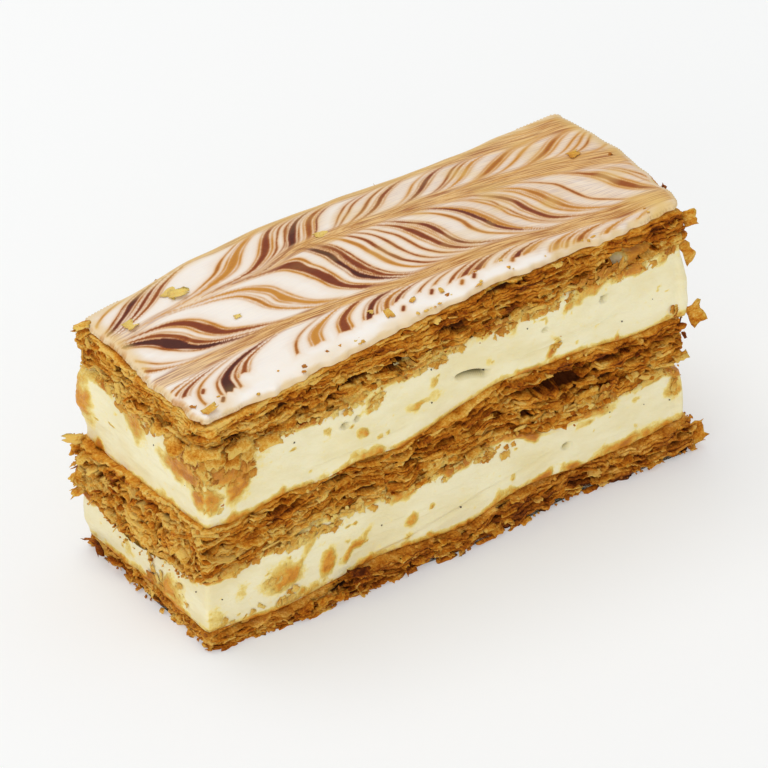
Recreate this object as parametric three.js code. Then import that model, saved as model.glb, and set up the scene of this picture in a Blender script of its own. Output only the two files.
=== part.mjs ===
// A slice of mille feuille: three bakes of puff pastry, two fillings of pastry cream between
// them, and a poured fondant top. Millimetres, +Z up, length along X, width along Y. The origin
// is the middle of the slice's footprint, on the surface that it stands on.
import * as THREE from "three";

// Driving dimensions of the whole slice.
const LENGTH = 110;
const WIDTH = 41.8;
const HALF_LENGTH = LENGTH / 2;
const HALF_WIDTH = WIDTH / 2;
const MID_HEIGHT = 27.5;

// Neighbouring layers stay this far apart, so that each is a solid of its own.
const LAYER_GAP = 0.35;

// The knife drew the ends in towards the top: inward run for each millimetre of height.
const END_TAPER = 0.018;

// The fondant's thickness in the middle and at the rim, how wide a rim is thinner, and how far
// its edge is rounded in.
const ICING_THICKNESS = 1.8;
const ICING_RIM_SHARE = 0.8;
const ICING_RIM_WIDTH = 6;
const ICING_ROUNDING = 1.1;

// The fondant stands highest over the far side of the left half.
const CROWN = { x: -22, spread: 26, rise: 1.8 };

// The upper face falls towards the far side, more so at the right end.
const FALL_LEFT = 0.6;
const FALL_RIGHT = 1.6;

// The grid that every layer is built on, and the rows up a layer's side.
const CELLS_LONG = 30;
const CELLS_WIDE = 8;
const PASTRY_ROWS = 6;
const SOFT_ROWS = 3;

// Distances from the middle of the slice where the heights of the seams are stated.
const STATIONS = [-55, -50, -43, -36, -28, -20, -11, -3, 4, 13, 22, 32, 43, 55];

// Height of each seam between two layers at those stations, along the near side of the slice.
const NEAR_HEIGHTS = {
  bottomCream: [2.9, 3.1, 2.7, 2.7, 3.8, 5.0, 5.1, 4.6, 4.1, 6.8, 7.0, 6.6, 6.6, 8.0],
  creamMiddle: [14.8, 16.0, 17.4, 16.6, 19.0, 18.8, 17.9, 19.2, 19.2, 21.6, 17.6, 18.0, 19.1, 20.8],
  middleCream: [28.6, 26.4, 27.2, 28.2, 26.9, 28.9, 27.7, 29.5, 31.4, 33.8, 33.1, 33.0, 31.3, 32.0],
  creamTop: [43.0, 42.7, 43.0, 42.5, 42.0, 43.2, 44.5, 45.3, 45.8, 47.0, 47.7, 47.0, 47.4, 49.0],
  topIcing: [50.4, 50.5, 51.0, 51.7, 52.7, 53.3, 54.2, 54.8, 55.3, 56.0, 55.8, 55.6, 55.9, 56.9],
};

// How far in from the left end a seam still follows the line that it has on the end's cut face.
const END_BLEND = 18;

const smooth = (t) => t * t * (3 - 2 * t);
const bell = (distance, spread) => Math.exp(-((distance / spread) ** 2));
const acrossShare = (y) => (y + HALF_WIDTH) / WIDTH;

// A smooth height along the slice through the values at the stations.
function alongLength(values) {
  return (x) => {
    const clamped = THREE.MathUtils.clamp(x, STATIONS[0], STATIONS[STATIONS.length - 1]);
    const next = Math.max(1, STATIONS.findIndex((station) => station >= clamped));
    const share = (clamped - STATIONS[next - 1]) / (STATIONS[next] - STATIONS[next - 1]);
    return THREE.MathUtils.lerp(values[next - 1], values[next], smooth(share));
  };
}

// A seam's height over the whole slice: its line on the near side, with a slow swell of up to
// `swell` towards the far side. On the left end it falls by `drop` from near to far, and hangs
// `sag` lower halfway.
function seam(values, { swell, phase, drop = 0, sag = 0 }) {
  const near = alongLength(values);
  return (x, y) => {
    const across = acrossShare(y);
    const inward = smooth(THREE.MathUtils.clamp((x + HALF_LENGTH) / END_BLEND, 0, 1));
    const swelling = swell * across * Math.sin(x / 17 + 2.1 * across + phase);
    const hanging = drop * across + sag * Math.sin(Math.PI * across);
    return near(x) + inward * swelling - (1 - inward) * hanging;
  };
}

const SEAMS = {
  floor: () => 0,
  bottomCream: seam(NEAR_HEIGHTS.bottomCream, { swell: 0.8, phase: 0.4, sag: -0.6 }),
  creamMiddle: seam(NEAR_HEIGHTS.creamMiddle, { swell: 1.3, phase: 1.7, drop: 1.4, sag: 3.0 }),
  middleCream: seam(NEAR_HEIGHTS.middleCream, { swell: 1.4, phase: 3.1, drop: 2.8 }),
  creamTop: seam(NEAR_HEIGHTS.creamTop, { swell: 1.2, phase: 0.9, drop: 1.0, sag: 0.8 }),
};

// The top bake's upper face falls towards the far side and carries the crown.
const topAlong = alongLength(NEAR_HEIGHTS.topIcing);
SEAMS.topIcing = (x, y) => {
  const across = acrossShare(y);
  const crown = CROWN.rise * bell(x - CROWN.x, CROWN.spread) * smooth(across);
  const fall = THREE.MathUtils.lerp(FALL_LEFT, FALL_RIGHT, (x + HALF_LENGTH) / LENGTH);
  return topAlong(x) + crown - fall * across;
};

// The fondant's surface thins towards its rim.
SEAMS.icingTop = (x, y) => {
  const toRim = Math.min(HALF_LENGTH - Math.abs(x), HALF_WIDTH - Math.abs(y));
  const filled = smooth(THREE.MathUtils.clamp(toRim / ICING_RIM_WIDTH, 0, 1));
  const thickness = ICING_THICKNESS * THREE.MathUtils.lerp(ICING_RIM_SHARE, 1, filled);
  return SEAMS.topIcing(x, y) + thickness;
};

// How far each side of a layer stands out from the slice's nominal box, at a distance along
// that side. A cut side also wanders by about `amount`, in a way of its own.
function outline({ amount, phase, near, far, left, right }) {
  return [near, far, left, right].map((standOut, side) => (along) => {
    const shift = phase + 1.7 * side;
    const slow = 0.6 * Math.sin(along / 6.3 + shift);
    const quick = 0.4 * Math.sin(along / 2.9 + 2.3 * shift);
    return standOut(along) + amount * (slow + quick);
  });
}

// Leaves of pastry step in and out up a bake's side.
const LEAF_STEP = 0.45;
const leafEdge = (rise, along) => LEAF_STEP * Math.sin(rise * PASTRY_ROWS * 2.4 + along / 9);

// Cream is drawn in a little by the knife at mid height.
const CREAM_HOLLOW = 0.5;
const creamEdge = (rise) => -4 * CREAM_HOLLOW * rise * (1 - rise);

// Fondant bellies out a little, then rounds over at its rim.
const icingEdge = (rise) => ICING_ROUNDING * (0.35 * Math.sin(Math.PI * rise) - rise ** 3);

// Which side of the grid a point is on: -1 or 1 on the rim, and 0 inside, where neighbouring
// layers keep the same grid and so the same seam.
const rimSide = (share) => (Math.abs(share) > 0.49 ? Math.sign(share) : 0);

// The closed solid between two seams, on a grid whose rim follows the outline.
function layerGeometry({ below, above, sides, rows, edge }) {
  const [near, far, left, right] = sides;
  const shape = new THREE.BoxGeometry(1, 1, 1, CELLS_LONG, CELLS_WIDE, rows);
  const place = shape.getAttribute("position");
  for (let i = 0; i < place.count; i += 1) {
    const along = place.getX(i);
    const across = place.getY(i);
    const rise = place.getZ(i) + 0.5;
    const x0 = along * LENGTH;
    const y0 = across * WIDTH;
    const height = THREE.MathUtils.lerp(below(x0, y0), above(x0, y0), rise);
    const taper = END_TAPER * (MID_HEIGHT - height);
    const endShift = (along < 0 ? left(y0) : right(y0)) + taper + edge(rise, y0);
    const sideShift = (across < 0 ? near(x0) : far(x0)) + edge(rise, x0);
    const x = x0 + rimSide(along) * endShift;
    const y = y0 + rimSide(across) * sideShift;
    const foot = below === SEAMS.floor ? 0 : below(x, y) + LAYER_GAP / 2;
    const head = above === SEAMS.icingTop ? above(x, y) : above(x, y) - LAYER_GAP / 2;
    place.setXYZ(i, x, y, THREE.MathUtils.lerp(foot, head, rise));
  }
  shape.computeVertexNormals();
  return shape;
}

const finish = (color, roughness) =>
  new THREE.MeshStandardMaterial({ color, roughness, metalness: 0 });

const LAYERS = [
  {
    name: "pastry_bottom",
    below: SEAMS.floor,
    above: SEAMS.bottomCream,
    rows: PASTRY_ROWS,
    edge: leafEdge,
    sides: outline({
      amount: 0.6,
      phase: 0.3,
      near: (x) => 0.6 + 2.2 * bell(x + 20, 26),
      far: (x) => 0.6 + 1.2 * bell(x - 12, 30),
      left: (y) => -0.4 - 1.4 * bell(y - HALF_WIDTH, 10),
      right: () => 1.0,
    }),
    material: finish(0x9a6428, 0.8),
  },
  {
    name: "cream_lower",
    below: SEAMS.bottomCream,
    above: SEAMS.creamMiddle,
    rows: SOFT_ROWS,
    edge: creamEdge,
    sides: outline({
      amount: 0.25,
      phase: 1.1,
      near: (x) => 0.7 * bell(x + 16, 30),
      far: (x) => 0.8 * bell(x, 34),
      left: () => -0.3,
      right: () => -0.7,
    }),
    material: finish(0xefe6b8, 0.45),
  },
  {
    name: "pastry_middle",
    below: SEAMS.creamMiddle,
    above: SEAMS.middleCream,
    rows: PASTRY_ROWS,
    edge: leafEdge,
    sides: outline({
      amount: 0.5,
      phase: 2.6,
      near: () => 0.4,
      far: (x) => 0.5 + bell(x + 10, 40),
      left: () => 1.3,
      right: () => 0.8,
    }),
    material: finish(0xb57a34, 0.8),
  },
  {
    name: "cream_upper",
    below: SEAMS.middleCream,
    above: SEAMS.creamTop,
    rows: SOFT_ROWS,
    edge: creamEdge,
    sides: outline({
      amount: 0.25,
      phase: 3.9,
      near: () => 0.1,
      far: (x) => 1.2 * bell(x + 18, 36),
      left: () => 0.2,
      right: () => 0.3,
    }),
    material: finish(0xefe6b8, 0.45),
  },
  {
    name: "pastry_top",
    below: SEAMS.creamTop,
    above: SEAMS.topIcing,
    rows: PASTRY_ROWS,
    edge: leafEdge,
    sides: outline({
      amount: 0.45,
      phase: 5.2,
      near: () => 0.4,
      far: (x) => 0.4 + 1.6 * bell(x - CROWN.x, CROWN.spread),
      left: () => 0.3,
      right: (y) => 0.6 + 1.6 * bell(y, 13),
    }),
    material: finish(0xad7530, 0.8),
  },
  {
    name: "fondant_icing",
    below: SEAMS.topIcing,
    above: SEAMS.icingTop,
    rows: SOFT_ROWS,
    edge: icingEdge,
    sides: outline({
      amount: 0.35,
      phase: 6.4,
      near: (x) => 0.1 + 0.4 * bell(x + 30, 24),
      far: (x) => 0.1 + 1.6 * bell(x - CROWN.x, CROWN.spread),
      left: () => -0.1,
      right: (y) => -0.3 + 2.2 * bell(y, 13),
    }),
    material: finish(0xf1e9e0, 0.3),
  },
];

const slice = new THREE.Group();
slice.name = "mille_feuille_slice";
for (const layer of LAYERS) {
  const mesh = new THREE.Mesh(layerGeometry(layer), layer.material);
  mesh.name = layer.name;
  slice.add(mesh);
}

// The cut sides wander by different amounts, so the slice is set back over its own middle.
const box = new THREE.Box3().setFromObject(slice);
const middle = box.getCenter(new THREE.Vector3());
slice.position.set(-middle.x, -middle.y, -box.min.z);

export default slice;
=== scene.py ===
"""Looks of a mille feuille slice: puff pastry, pastry cream and feathered fondant.

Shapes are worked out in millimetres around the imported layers, and turned into metres when a
mesh is made. +X runs along the slice, +Y across it to the far side, and +Z is up.
"""

import itertools
import logging
import math
from dataclasses import dataclass, field, fields as dataclass_fields, replace
from enum import Enum
from typing import Any, Callable, Mapping, Sequence, TypeVar

import bmesh
import bpy
import numpy as np
from mathutils import Matrix, Vector
from mathutils.bvhtree import BVHTree


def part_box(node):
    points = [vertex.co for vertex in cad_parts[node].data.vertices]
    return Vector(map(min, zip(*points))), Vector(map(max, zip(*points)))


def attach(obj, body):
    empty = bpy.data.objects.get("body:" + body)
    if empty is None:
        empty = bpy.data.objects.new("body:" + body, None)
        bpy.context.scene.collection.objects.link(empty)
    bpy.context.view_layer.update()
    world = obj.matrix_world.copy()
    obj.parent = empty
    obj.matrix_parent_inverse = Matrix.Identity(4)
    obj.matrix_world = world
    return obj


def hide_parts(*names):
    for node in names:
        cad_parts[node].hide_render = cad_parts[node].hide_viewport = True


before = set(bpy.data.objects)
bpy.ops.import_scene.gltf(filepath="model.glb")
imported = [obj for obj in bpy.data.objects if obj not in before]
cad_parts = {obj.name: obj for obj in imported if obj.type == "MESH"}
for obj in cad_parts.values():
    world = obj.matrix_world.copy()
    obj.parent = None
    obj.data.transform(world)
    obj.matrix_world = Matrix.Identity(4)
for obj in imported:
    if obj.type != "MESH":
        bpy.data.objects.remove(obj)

log = logging.getLogger("mille_feuille")

MM = 0.001
BODY = "root"
WORD = 0xFFFFFFFF
UP = np.array([0.0, 0.0, 1.0])
Array = np.ndarray
Stops = tuple[tuple[float, str], ...]
Item = TypeVar("Item")


# ---- numbers and noise


def smoothstep(low: float, high: float, value: Array) -> Array:
    """Rise from 0 at `low` to 1 at `high` with level ends."""
    share = np.clip((value - low) / (high - low), 0.0, 1.0)
    return share * share * (3.0 - 2.0 * share)


def lattice(seed: int, corner: Sequence[Array]) -> Array:
    """Give each whole-numbered point a random value of its own.

    Args:
        seed: Which set of random values is drawn.
        corner: Whole-numbered coordinates, one array for each axis.

    Returns:
        Values from -1 to 1.
    """
    state = np.full(corner[0].shape, (seed * 0x9E3779B1) & WORD, dtype=np.uint32)
    for axis, value in enumerate(corner):
        whole = (value.astype(np.int64) & WORD).astype(np.uint32)
        state = state ^ (whole * np.uint32((0x85EBCA6B + 0x3C6EF372 * axis) & WORD))
        for shift, factor in ((15, 0x2C1B3C6D), (12, 0x297A2D39), (15, 1)):
            state = (state ^ (state >> np.uint32(shift))) * np.uint32(factor)
    return state.astype(np.float64) / 2.0**31 - 1.0


def noise(seed: int, *coordinates: Array) -> Array:
    """Smooth random values over one, two or three coordinates.

    Args:
        seed: Which noise field is read.
        *coordinates: Places to read it at, with features about one unit across.

    Returns:
        Values from -1 to 1.
    """
    axes = np.broadcast_arrays(*(np.asarray(axis, dtype=float) for axis in coordinates))
    floors = [np.floor(axis) for axis in axes]
    weights = [smoothstep(0.0, 1.0, axis - floor) for axis, floor in zip(axes, floors)]
    total = np.zeros(axes[0].shape)
    for bits in itertools.product((0, 1), repeat=len(axes)):
        weight = np.ones(axes[0].shape)
        for bit, share in zip(bits, weights):
            weight = weight * (share if bit else 1.0 - share)
        total += weight * lattice(seed, [floor + bit for floor, bit in zip(floors, bits)])
    return total


def fractal(seed: int, octaves: int, *coordinates: Array) -> Array:
    """Noise with finer and finer detail.

    Args:
        seed: Which noise field is read.
        octaves: How many layers are added, each half the size of the last.
        *coordinates: Places to read it at.

    Returns:
        Values from about -1 to 1.
    """
    total = 0.0
    for octave in range(octaves):
        finer = [np.asarray(axis) * 2.0**octave + 17.3 * octave for axis in coordinates]
        total = total + noise(seed + 101 * octave, *finer) / 2.0**octave
    return total


def smooth_ring(values: Array, cells: float) -> Array:
    """Smooth values around a closed ring.

    Args:
        values: One value, or one row of values, for each place around the ring.
        cells: How far the smoothing reaches, in places.

    Returns:
        The smoothed values.
    """
    reach = max(1, int(math.ceil(3 * cells)))
    weights = np.exp(-0.5 * (np.arange(-reach, reach + 1) / cells) ** 2)
    weights /= weights.sum()
    total = np.zeros_like(values, dtype=float)
    for offset, weight in zip(range(-reach, reach + 1), weights):
        total += weight * np.roll(values, offset, axis=0)
    return total


class Track:
    """A soft curve along the slice through a few stated places."""

    def __init__(self, *places: tuple[float, float]) -> None:
        """Draw the curve.

        Args:
            *places: Distance along X and the curve's value there.
        """
        self.along = np.arange(-64.0, 64.5, 0.5)
        line = np.interp(self.along, [x for x, _ in places], [value for _, value in places])
        kernel = np.hanning(17)
        padded = np.pad(line, 8, mode="edge")
        self.values = np.convolve(padded, kernel / kernel.sum(), mode="valid")

    def __call__(self, along: Array) -> Array:
        """Read the curve at distances along X."""
        return np.interp(along, self.along, self.values)


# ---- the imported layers


class Side(Enum):
    """The cut sides of the slice, with the direction that each faces."""

    NEAR = (0, -1)
    RIGHT = (1, 0)
    FAR = (0, 1)
    LEFT = (-1, 0)

    @property
    def is_end(self) -> bool:
        """Whether this is one of the two short sides."""
        return self.value[0] != 0

    def along(self, x: Array, y: Array) -> Array:
        """Pick the coordinate that runs along this side."""
        return y if self.is_end else x


def each(kind: Callable[..., Item], *rows: Sequence[Any]) -> tuple[Item, ...]:
    """Make one item from each row of values."""
    return tuple(kind(*row) for row in rows)


def on_side(kind: Callable[..., Item], side: Side, *rows: Sequence[Any]) -> tuple[Item, ...]:
    """Make one item on a side from each row of its other values."""
    return tuple(kind(side, *row) for row in rows)


@dataclass(frozen=True)
class Patch:
    """Something at a place on a cut side.

    Attributes:
        side: The cut side that it is on.
        along: Its middle along that side.
        height: Its height above the board.
    """

    side: Side
    along: float
    height: float


@dataclass
class Ring:
    """Places around a layer's outline, counter-clockwise from the near left corner.

    Attributes:
        x, y: The places.
        out_x, out_y: The way out of the layer at each place.
    """

    x: Array
    y: Array
    out_x: Array
    out_y: Array

    def towards(self, side: Side) -> Array:
        """How far each place looks towards a side, from -1 to 1."""
        return self.out_x * side.value[0] + self.out_y * side.value[1]

    def faces(self, side: Side, low: float = 0.6, high: float = 0.9) -> Array:
        """Say, from 0 to 1, how far each place belongs to a side."""
        return smoothstep(low, high, self.towards(side))

    def moved(self, out: Array | float) -> tuple[Array, Array]:
        """Move the places outwards by a distance, or inwards by a negative one."""
        return self.x + self.out_x * out, self.y + self.out_y * out

    def at(self, chosen: Array, heights: Array) -> Array:
        """Points at these heights over the chosen places."""
        return np.stack([self.x[chosen], self.y[chosen], heights], axis=1)

    def outward(self, chosen: Array) -> Array:
        """Level directions out of the layer at the chosen places."""
        return np.stack([self.out_x[chosen], self.out_y[chosen], np.zeros(len(chosen))], axis=1)


class LayerShape:
    """A packed layer, read as two height maps and an outline."""

    MAP_STEP = 1.5
    MAP_INSET = 2.0
    READ_INSET = 1.5
    FAR_OFF = 80.0

    def __init__(self, node: str) -> None:
        """Read the node's solid.

        Args:
            node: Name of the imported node.
        """
        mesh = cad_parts[node].data
        self.tree = BVHTree.FromPolygons(
            [vertex.co / MM for vertex in mesh.vertices],
            [tuple(polygon.vertices) for polygon in mesh.polygons],
        )
        low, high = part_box(node)
        self.low = np.array(low) / MM
        self.high = np.array(high) / MM
        self.map_x = np.arange(self.low[0] + self.MAP_INSET, self.high[0], self.MAP_STEP)
        self.map_y = np.arange(self.low[1] + self.MAP_INSET, self.high[1], self.MAP_STEP)
        self.upper = self._height_map(from_above=True)
        self.lower = self._height_map(from_above=False)

    def _cast(self, origin: Sequence[float], way: Sequence[float]) -> Vector | None:
        """Find where a ray first meets the solid."""
        return self.tree.ray_cast(Vector(origin), Vector(way))[0]

    def _height_map(self, from_above: bool) -> Array:
        """Read the heights of the upper or the lower face on a grid, and soften them.

        Args:
            from_above: Whether the upper face is read.

        Returns:
            Heights, one row for each place along X.
        """
        start = self.high[2] + 10.0 if from_above else self.low[2] - 10.0
        way = (0, 0, -1) if from_above else (0, 0, 1)
        heights = np.zeros((len(self.map_x), len(self.map_y)))
        for i, x in enumerate(self.map_x):
            for j, y in enumerate(self.map_y):
                for shrink in (1.0, 0.97, 0.94, 0.9, 0.85, 0.8):
                    hit = self._cast((x * shrink, y * shrink, start), way)
                    if hit is not None:
                        heights[i, j] = hit.z
                        break
        for _ in range(3):
            padded = np.pad(heights, 1, mode="edge")
            across = padded[:, :-2] + 2.0 * padded[:, 1:-1] + padded[:, 2:]
            heights = (across[:-2] + 2.0 * across[1:-1] + across[2:]) / 16.0
        return heights

    def _read(self, heights: Array, x: Array, y: Array) -> Array:
        """Read a height map between its grid's places."""
        column = np.clip((x - self.map_x[0]) / self.MAP_STEP, 0, len(self.map_x) - 1.001)
        row = np.clip((y - self.map_y[0]) / self.MAP_STEP, 0, len(self.map_y) - 1.001)
        i, j = column.astype(int), row.astype(int)
        u, v = column - i, row - j
        near = heights[i, j] * (1 - u) + heights[i + 1, j] * u
        far = heights[i, j + 1] * (1 - u) + heights[i + 1, j + 1] * u
        return near * (1 - v) + far * v

    def top(self, x: Array, y: Array) -> Array:
        """Height of the upper face."""
        return self._read(self.upper, x, y)

    def bottom(self, x: Array, y: Array) -> Array:
        """Height of the lower face."""
        return self._read(self.lower, x, y)

    def levels(self, ring: Ring) -> tuple[Array, Array]:
        """Heights of the lower and the upper face, a little inside a ring."""
        inside = ring.moved(-self.READ_INSET)
        return self.bottom(*inside), self.top(*inside)

    def edge(self, side: Side, along: float) -> float:
        """Find how far out a side stands at mid height.

        Args:
            side: The side that is measured.
            along: Distance along that side.

        Returns:
            The outward coordinate, with its sign.
        """
        sign = sum(side.value)
        for inset in (0.0, 0.5, 1.0, 2.0, 4.0):
            inner = along - math.copysign(inset, along)
            start = (sign * self.FAR_OFF, inner) if side.is_end else (inner, sign * self.FAR_OFF)
            place = [np.array(value) for value in start]
            height = float(self.top(*place) + self.bottom(*place)) / 2
            hit = self._cast((*start, height), (-side.value[0], -side.value[1], 0))
            if hit is not None:
                return hit.x if side.is_end else hit.y
        return sign * float(self.high[0 if side.is_end else 1])

    def _corner(self, end: Side, flank: Side) -> tuple[float, float]:
        """Find the corner between an end and a long side, and step a little inside it."""
        x, y = self.edge(end, 0.0), self.edge(flank, 0.0)
        for _ in range(3):
            y = self.edge(flank, x - 1.5 * end.value[0])
            x = self.edge(end, y - 1.5 * flank.value[1])
        return x - 0.4 * end.value[0], y - 0.4 * flank.value[1]

    def _walk(self, side: Side, first: float, last: float) -> list[tuple[float, float]]:
        """Measure a side in even steps.

        Args:
            side: The side.
            first, last: Where the walk along it begins and ends.

        Returns:
            Places, without any that missed the side.
        """
        along = np.linspace(first, last, max(8, int(abs(last - first))))
        reach = np.array([self.edge(side, place) for place in along])
        kept = np.abs(reach - np.median(reach)) < 3.5
        return [(r, a) if side.is_end else (a, r) for a, r in zip(along[kept], reach[kept])]

    def ring(self, spacing: float, corner: float, calm: float = 0.4) -> Ring:
        """Walk around the layer's outline in even steps.

        Args:
            spacing: Length of a step.
            corner: How softly the corners are rounded.
            calm: Over which length the ways out are evened.

        Returns:
            The places around the outline.
        """
        ends = (Side.LEFT, Side.RIGHT, Side.RIGHT, Side.LEFT)
        flanks = (Side.NEAR, Side.NEAR, Side.FAR, Side.FAR)
        corners = [self._corner(end, flank) for end, flank in zip(ends, flanks)]
        points = []
        for side, first, last in zip(
            (Side.NEAR, Side.RIGHT, Side.FAR, Side.LEFT), corners, corners[1:] + corners[:1]
        ):
            points += self._walk(side, side.along(*first), side.along(*last))
        path = np.array(points + points[:1])
        walked = np.concatenate([[0.0], np.cumsum(np.hypot(*np.diff(path, axis=0).T))])
        count = int(round(walked[-1] / spacing))
        even = np.linspace(0.0, walked[-1], count, endpoint=False)
        place = np.stack([np.interp(even, walked, path[:, axis]) for axis in (0, 1)], axis=1)
        place = smooth_ring(place, corner / spacing)
        ahead = np.roll(place, -2, axis=0) - np.roll(place, 2, axis=0)
        ahead = smooth_ring(ahead, calm / spacing)
        ahead /= np.linalg.norm(ahead, axis=1)[:, None]
        return Ring(place[:, 0], place[:, 1], ahead[:, 1], -ahead[:, 0])


# ---- meshes


def grid_faces(index: Array) -> Array:
    """Join the points of a grid, given by their numbers, into rows of four."""
    cells = [index[:-1, :-1], index[1:, :-1], index[1:, 1:], index[:-1, 1:]]
    return np.stack(cells, axis=-1).reshape(-1, 4)


def grid_border(index: Array) -> Array:
    """List the points along a grid's border, given by their numbers."""
    return np.concatenate([index[:-1, 0], index[-1, :-1], index[:0:-1, -1], index[0, :0:-1]])


def band_faces(upper: Array, lower: Array) -> Array:
    """Join two closed loops of points, given by their numbers, into rows of four."""
    return np.stack([upper, lower, np.roll(lower, -1), np.roll(upper, -1)], axis=-1)


@dataclass
class Shell:
    """A grid of points around a ring, closed at both ends into one skin.

    Attributes:
        points: Places in millimetres, shaped rows by columns by 3, from the bottom up.
        fields: Values for each point, shaped rows by columns.
        side_rows: The first and last row of the outer side; the rest belong to the caps.
    """

    points: Array
    fields: dict[str, Array]
    side_rows: tuple[int, int]

    STRIPS = (
        (0.0, 0.97, 0.76, 0.98),
        (0.5, 0.93, 0.28, 0.50),
        (0.0, 0.97, 0.52, 0.74),
        (0.0, 0.43, 0.28, 0.50),
    )
    CAP_SIZE = (0.47, 0.24)
    LOWER_CAP = (0.5, 0.0)

    def _faces(self) -> list[list[int]]:
        """Join neighbouring points into faces that look outwards, and close both ends."""
        rows, columns, _ = self.points.shape
        index = np.arange(rows * columns).reshape(rows, columns)
        onward = np.roll(index, -1, axis=1)
        quads = np.stack([index[:-1], onward[:-1], onward[1:], index[1:]], axis=-1)
        return [*quads.reshape(-1, 4).tolist(), index[0, ::-1].tolist(), index[-1].tolist()]

    def _flat_map(self) -> Array:
        """Lay the skin out flat: its four sides as strips, and its caps as seen from above.

        Returns:
            Places on the flat map for each corner of each face.
        """
        rows, columns, _ = self.points.shape
        first, last = self.side_rows
        plan = self.points[..., :2]
        low, span = plan.min(axis=(0, 1)), np.ptp(plan, axis=(0, 1))
        cap = (0.0, 0.01) + self.CAP_SIZE * (plan - low) / span
        waist = plan[(first + last) // 2]
        ahead = smooth_ring(np.roll(waist, -1, axis=0) - waist, 8.0)
        lengthways = np.abs(ahead[:, 0]) >= np.abs(ahead[:, 1])
        strip = np.where(lengthways, np.where(ahead[:, 0] > 0, 0, 2), np.where(ahead[:, 1] > 0, 1, 3))
        row = np.arange(rows - 1)[:, None, None] + np.array([0, 0, 1, 1])
        column = (np.arange(columns)[:, None] + np.array([0, 1, 1, 0])) % columns
        row, column = np.broadcast_arrays(row, column)
        level = np.clip((row - first) / (last - first), 0.0, 1.0)
        share = (waist - low) / span
        flat = np.zeros(row.shape + (2,))
        for number, (left, right, foot, head) in enumerate(self.STRIPS):
            along = left + (right - left) * share[:, number % 2][column]
            mine = np.broadcast_to((strip == number)[:, None], row.shape)
            flat[mine] = np.stack([along, foot + (head - foot) * level], axis=-1)[mine]
        for start, inside in (((0.0, 0.0), row[..., :1] >= last), (self.LOWER_CAP, row[..., :1] < first)):
            mine = np.broadcast_to(inside, row.shape)
            flat[mine] = (cap[row, column] + start)[mine]
        return np.concatenate([flat.reshape(-1, 2), cap[0, ::-1] + self.LOWER_CAP, cap[-1]])

    def make(self, name: str, material: bpy.types.Material) -> bpy.types.Object:
        """Turn the shell into an object with this name and finish."""
        fields = {key: value.reshape(-1) for key, value in self.fields.items()}
        points = self.points.reshape(-1, 3)
        return make_piece(name, points, self._faces(), material, True, fields, self._flat_map())


def make_piece(
    name: str,
    points: Array,
    faces: Sequence[Sequence[int]],
    material: bpy.types.Material,
    smooth: bool,
    fields: Mapping[str, Array] | None = None,
    flat_map: Array | None = None,
) -> bpy.types.Object:
    """Make a mesh object from points in millimetres.

    Args:
        name: Name of the piece.
        points: One row of three coordinates for each point.
        faces: Point numbers of each face.
        material: Finish of the surface.
        smooth: Whether the faces are shaded as one soft surface.
        fields: Named values for each point, which the finish reads.
        flat_map: Flattened place of each face corner.

    Returns:
        The new object.
    """
    mesh = bpy.data.meshes.new(name)
    mesh.from_pydata((points * MM).tolist(), [], faces)
    for key, values in (fields or {}).items():
        attribute = mesh.attributes.new(key, "FLOAT", "POINT")
        attribute.data.foreach_set("value", np.ascontiguousarray(values, dtype=np.float32))
    if flat_map is not None:
        layer = mesh.uv_layers.new(name="OFBake")
        layer.uv.foreach_set("vector", np.ascontiguousarray(flat_map, dtype=np.float32).reshape(-1))
    mesh.polygons.foreach_set("use_smooth", np.full(len(mesh.polygons), smooth))
    mesh.materials.append(material)
    mesh.update()
    piece = bpy.data.objects.new(name, mesh)
    bpy.context.scene.collection.objects.link(piece)
    return piece


def settle(piece: bpy.types.Object, slot: str, *nodes: str) -> None:
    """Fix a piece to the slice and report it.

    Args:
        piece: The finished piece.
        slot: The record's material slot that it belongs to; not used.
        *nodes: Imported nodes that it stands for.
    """
    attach(piece, BODY)
    if nodes:
        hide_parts(*nodes)
    triangles = sum(len(polygon.vertices) - 2 for polygon in piece.data.polygons)
    log.info("%s: %d triangles", piece.name, triangles)


# ---- finishes


def colour(code: str) -> tuple[float, float, float, float]:
    """Turn a six-digit colour code into linear light."""
    parts = [int(code[i : i + 2], 16) / 255 for i in (0, 2, 4)]
    linear = [p / 12.92 if p <= 0.04045 else ((p + 0.055) / 1.055) ** 2.4 for p in parts]
    return (*linear, 1.0)


def operator(operation: str, swapped: bool = False) -> Callable[["Signal", Any], "Signal"]:
    """Make an arithmetic operator that adds a Math node.

    Args:
        operation: What the node does.
        swapped: Whether the other value comes first.

    Returns:
        The operator's method.
    """

    def act(self: "Signal", other: Any) -> "Signal":
        """Work on the two values."""
        values = {0: other, 1: self} if swapped else {0: self, 1: other}
        return self.nodes.add("Math", {"operation": operation}, values)

    return act


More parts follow.
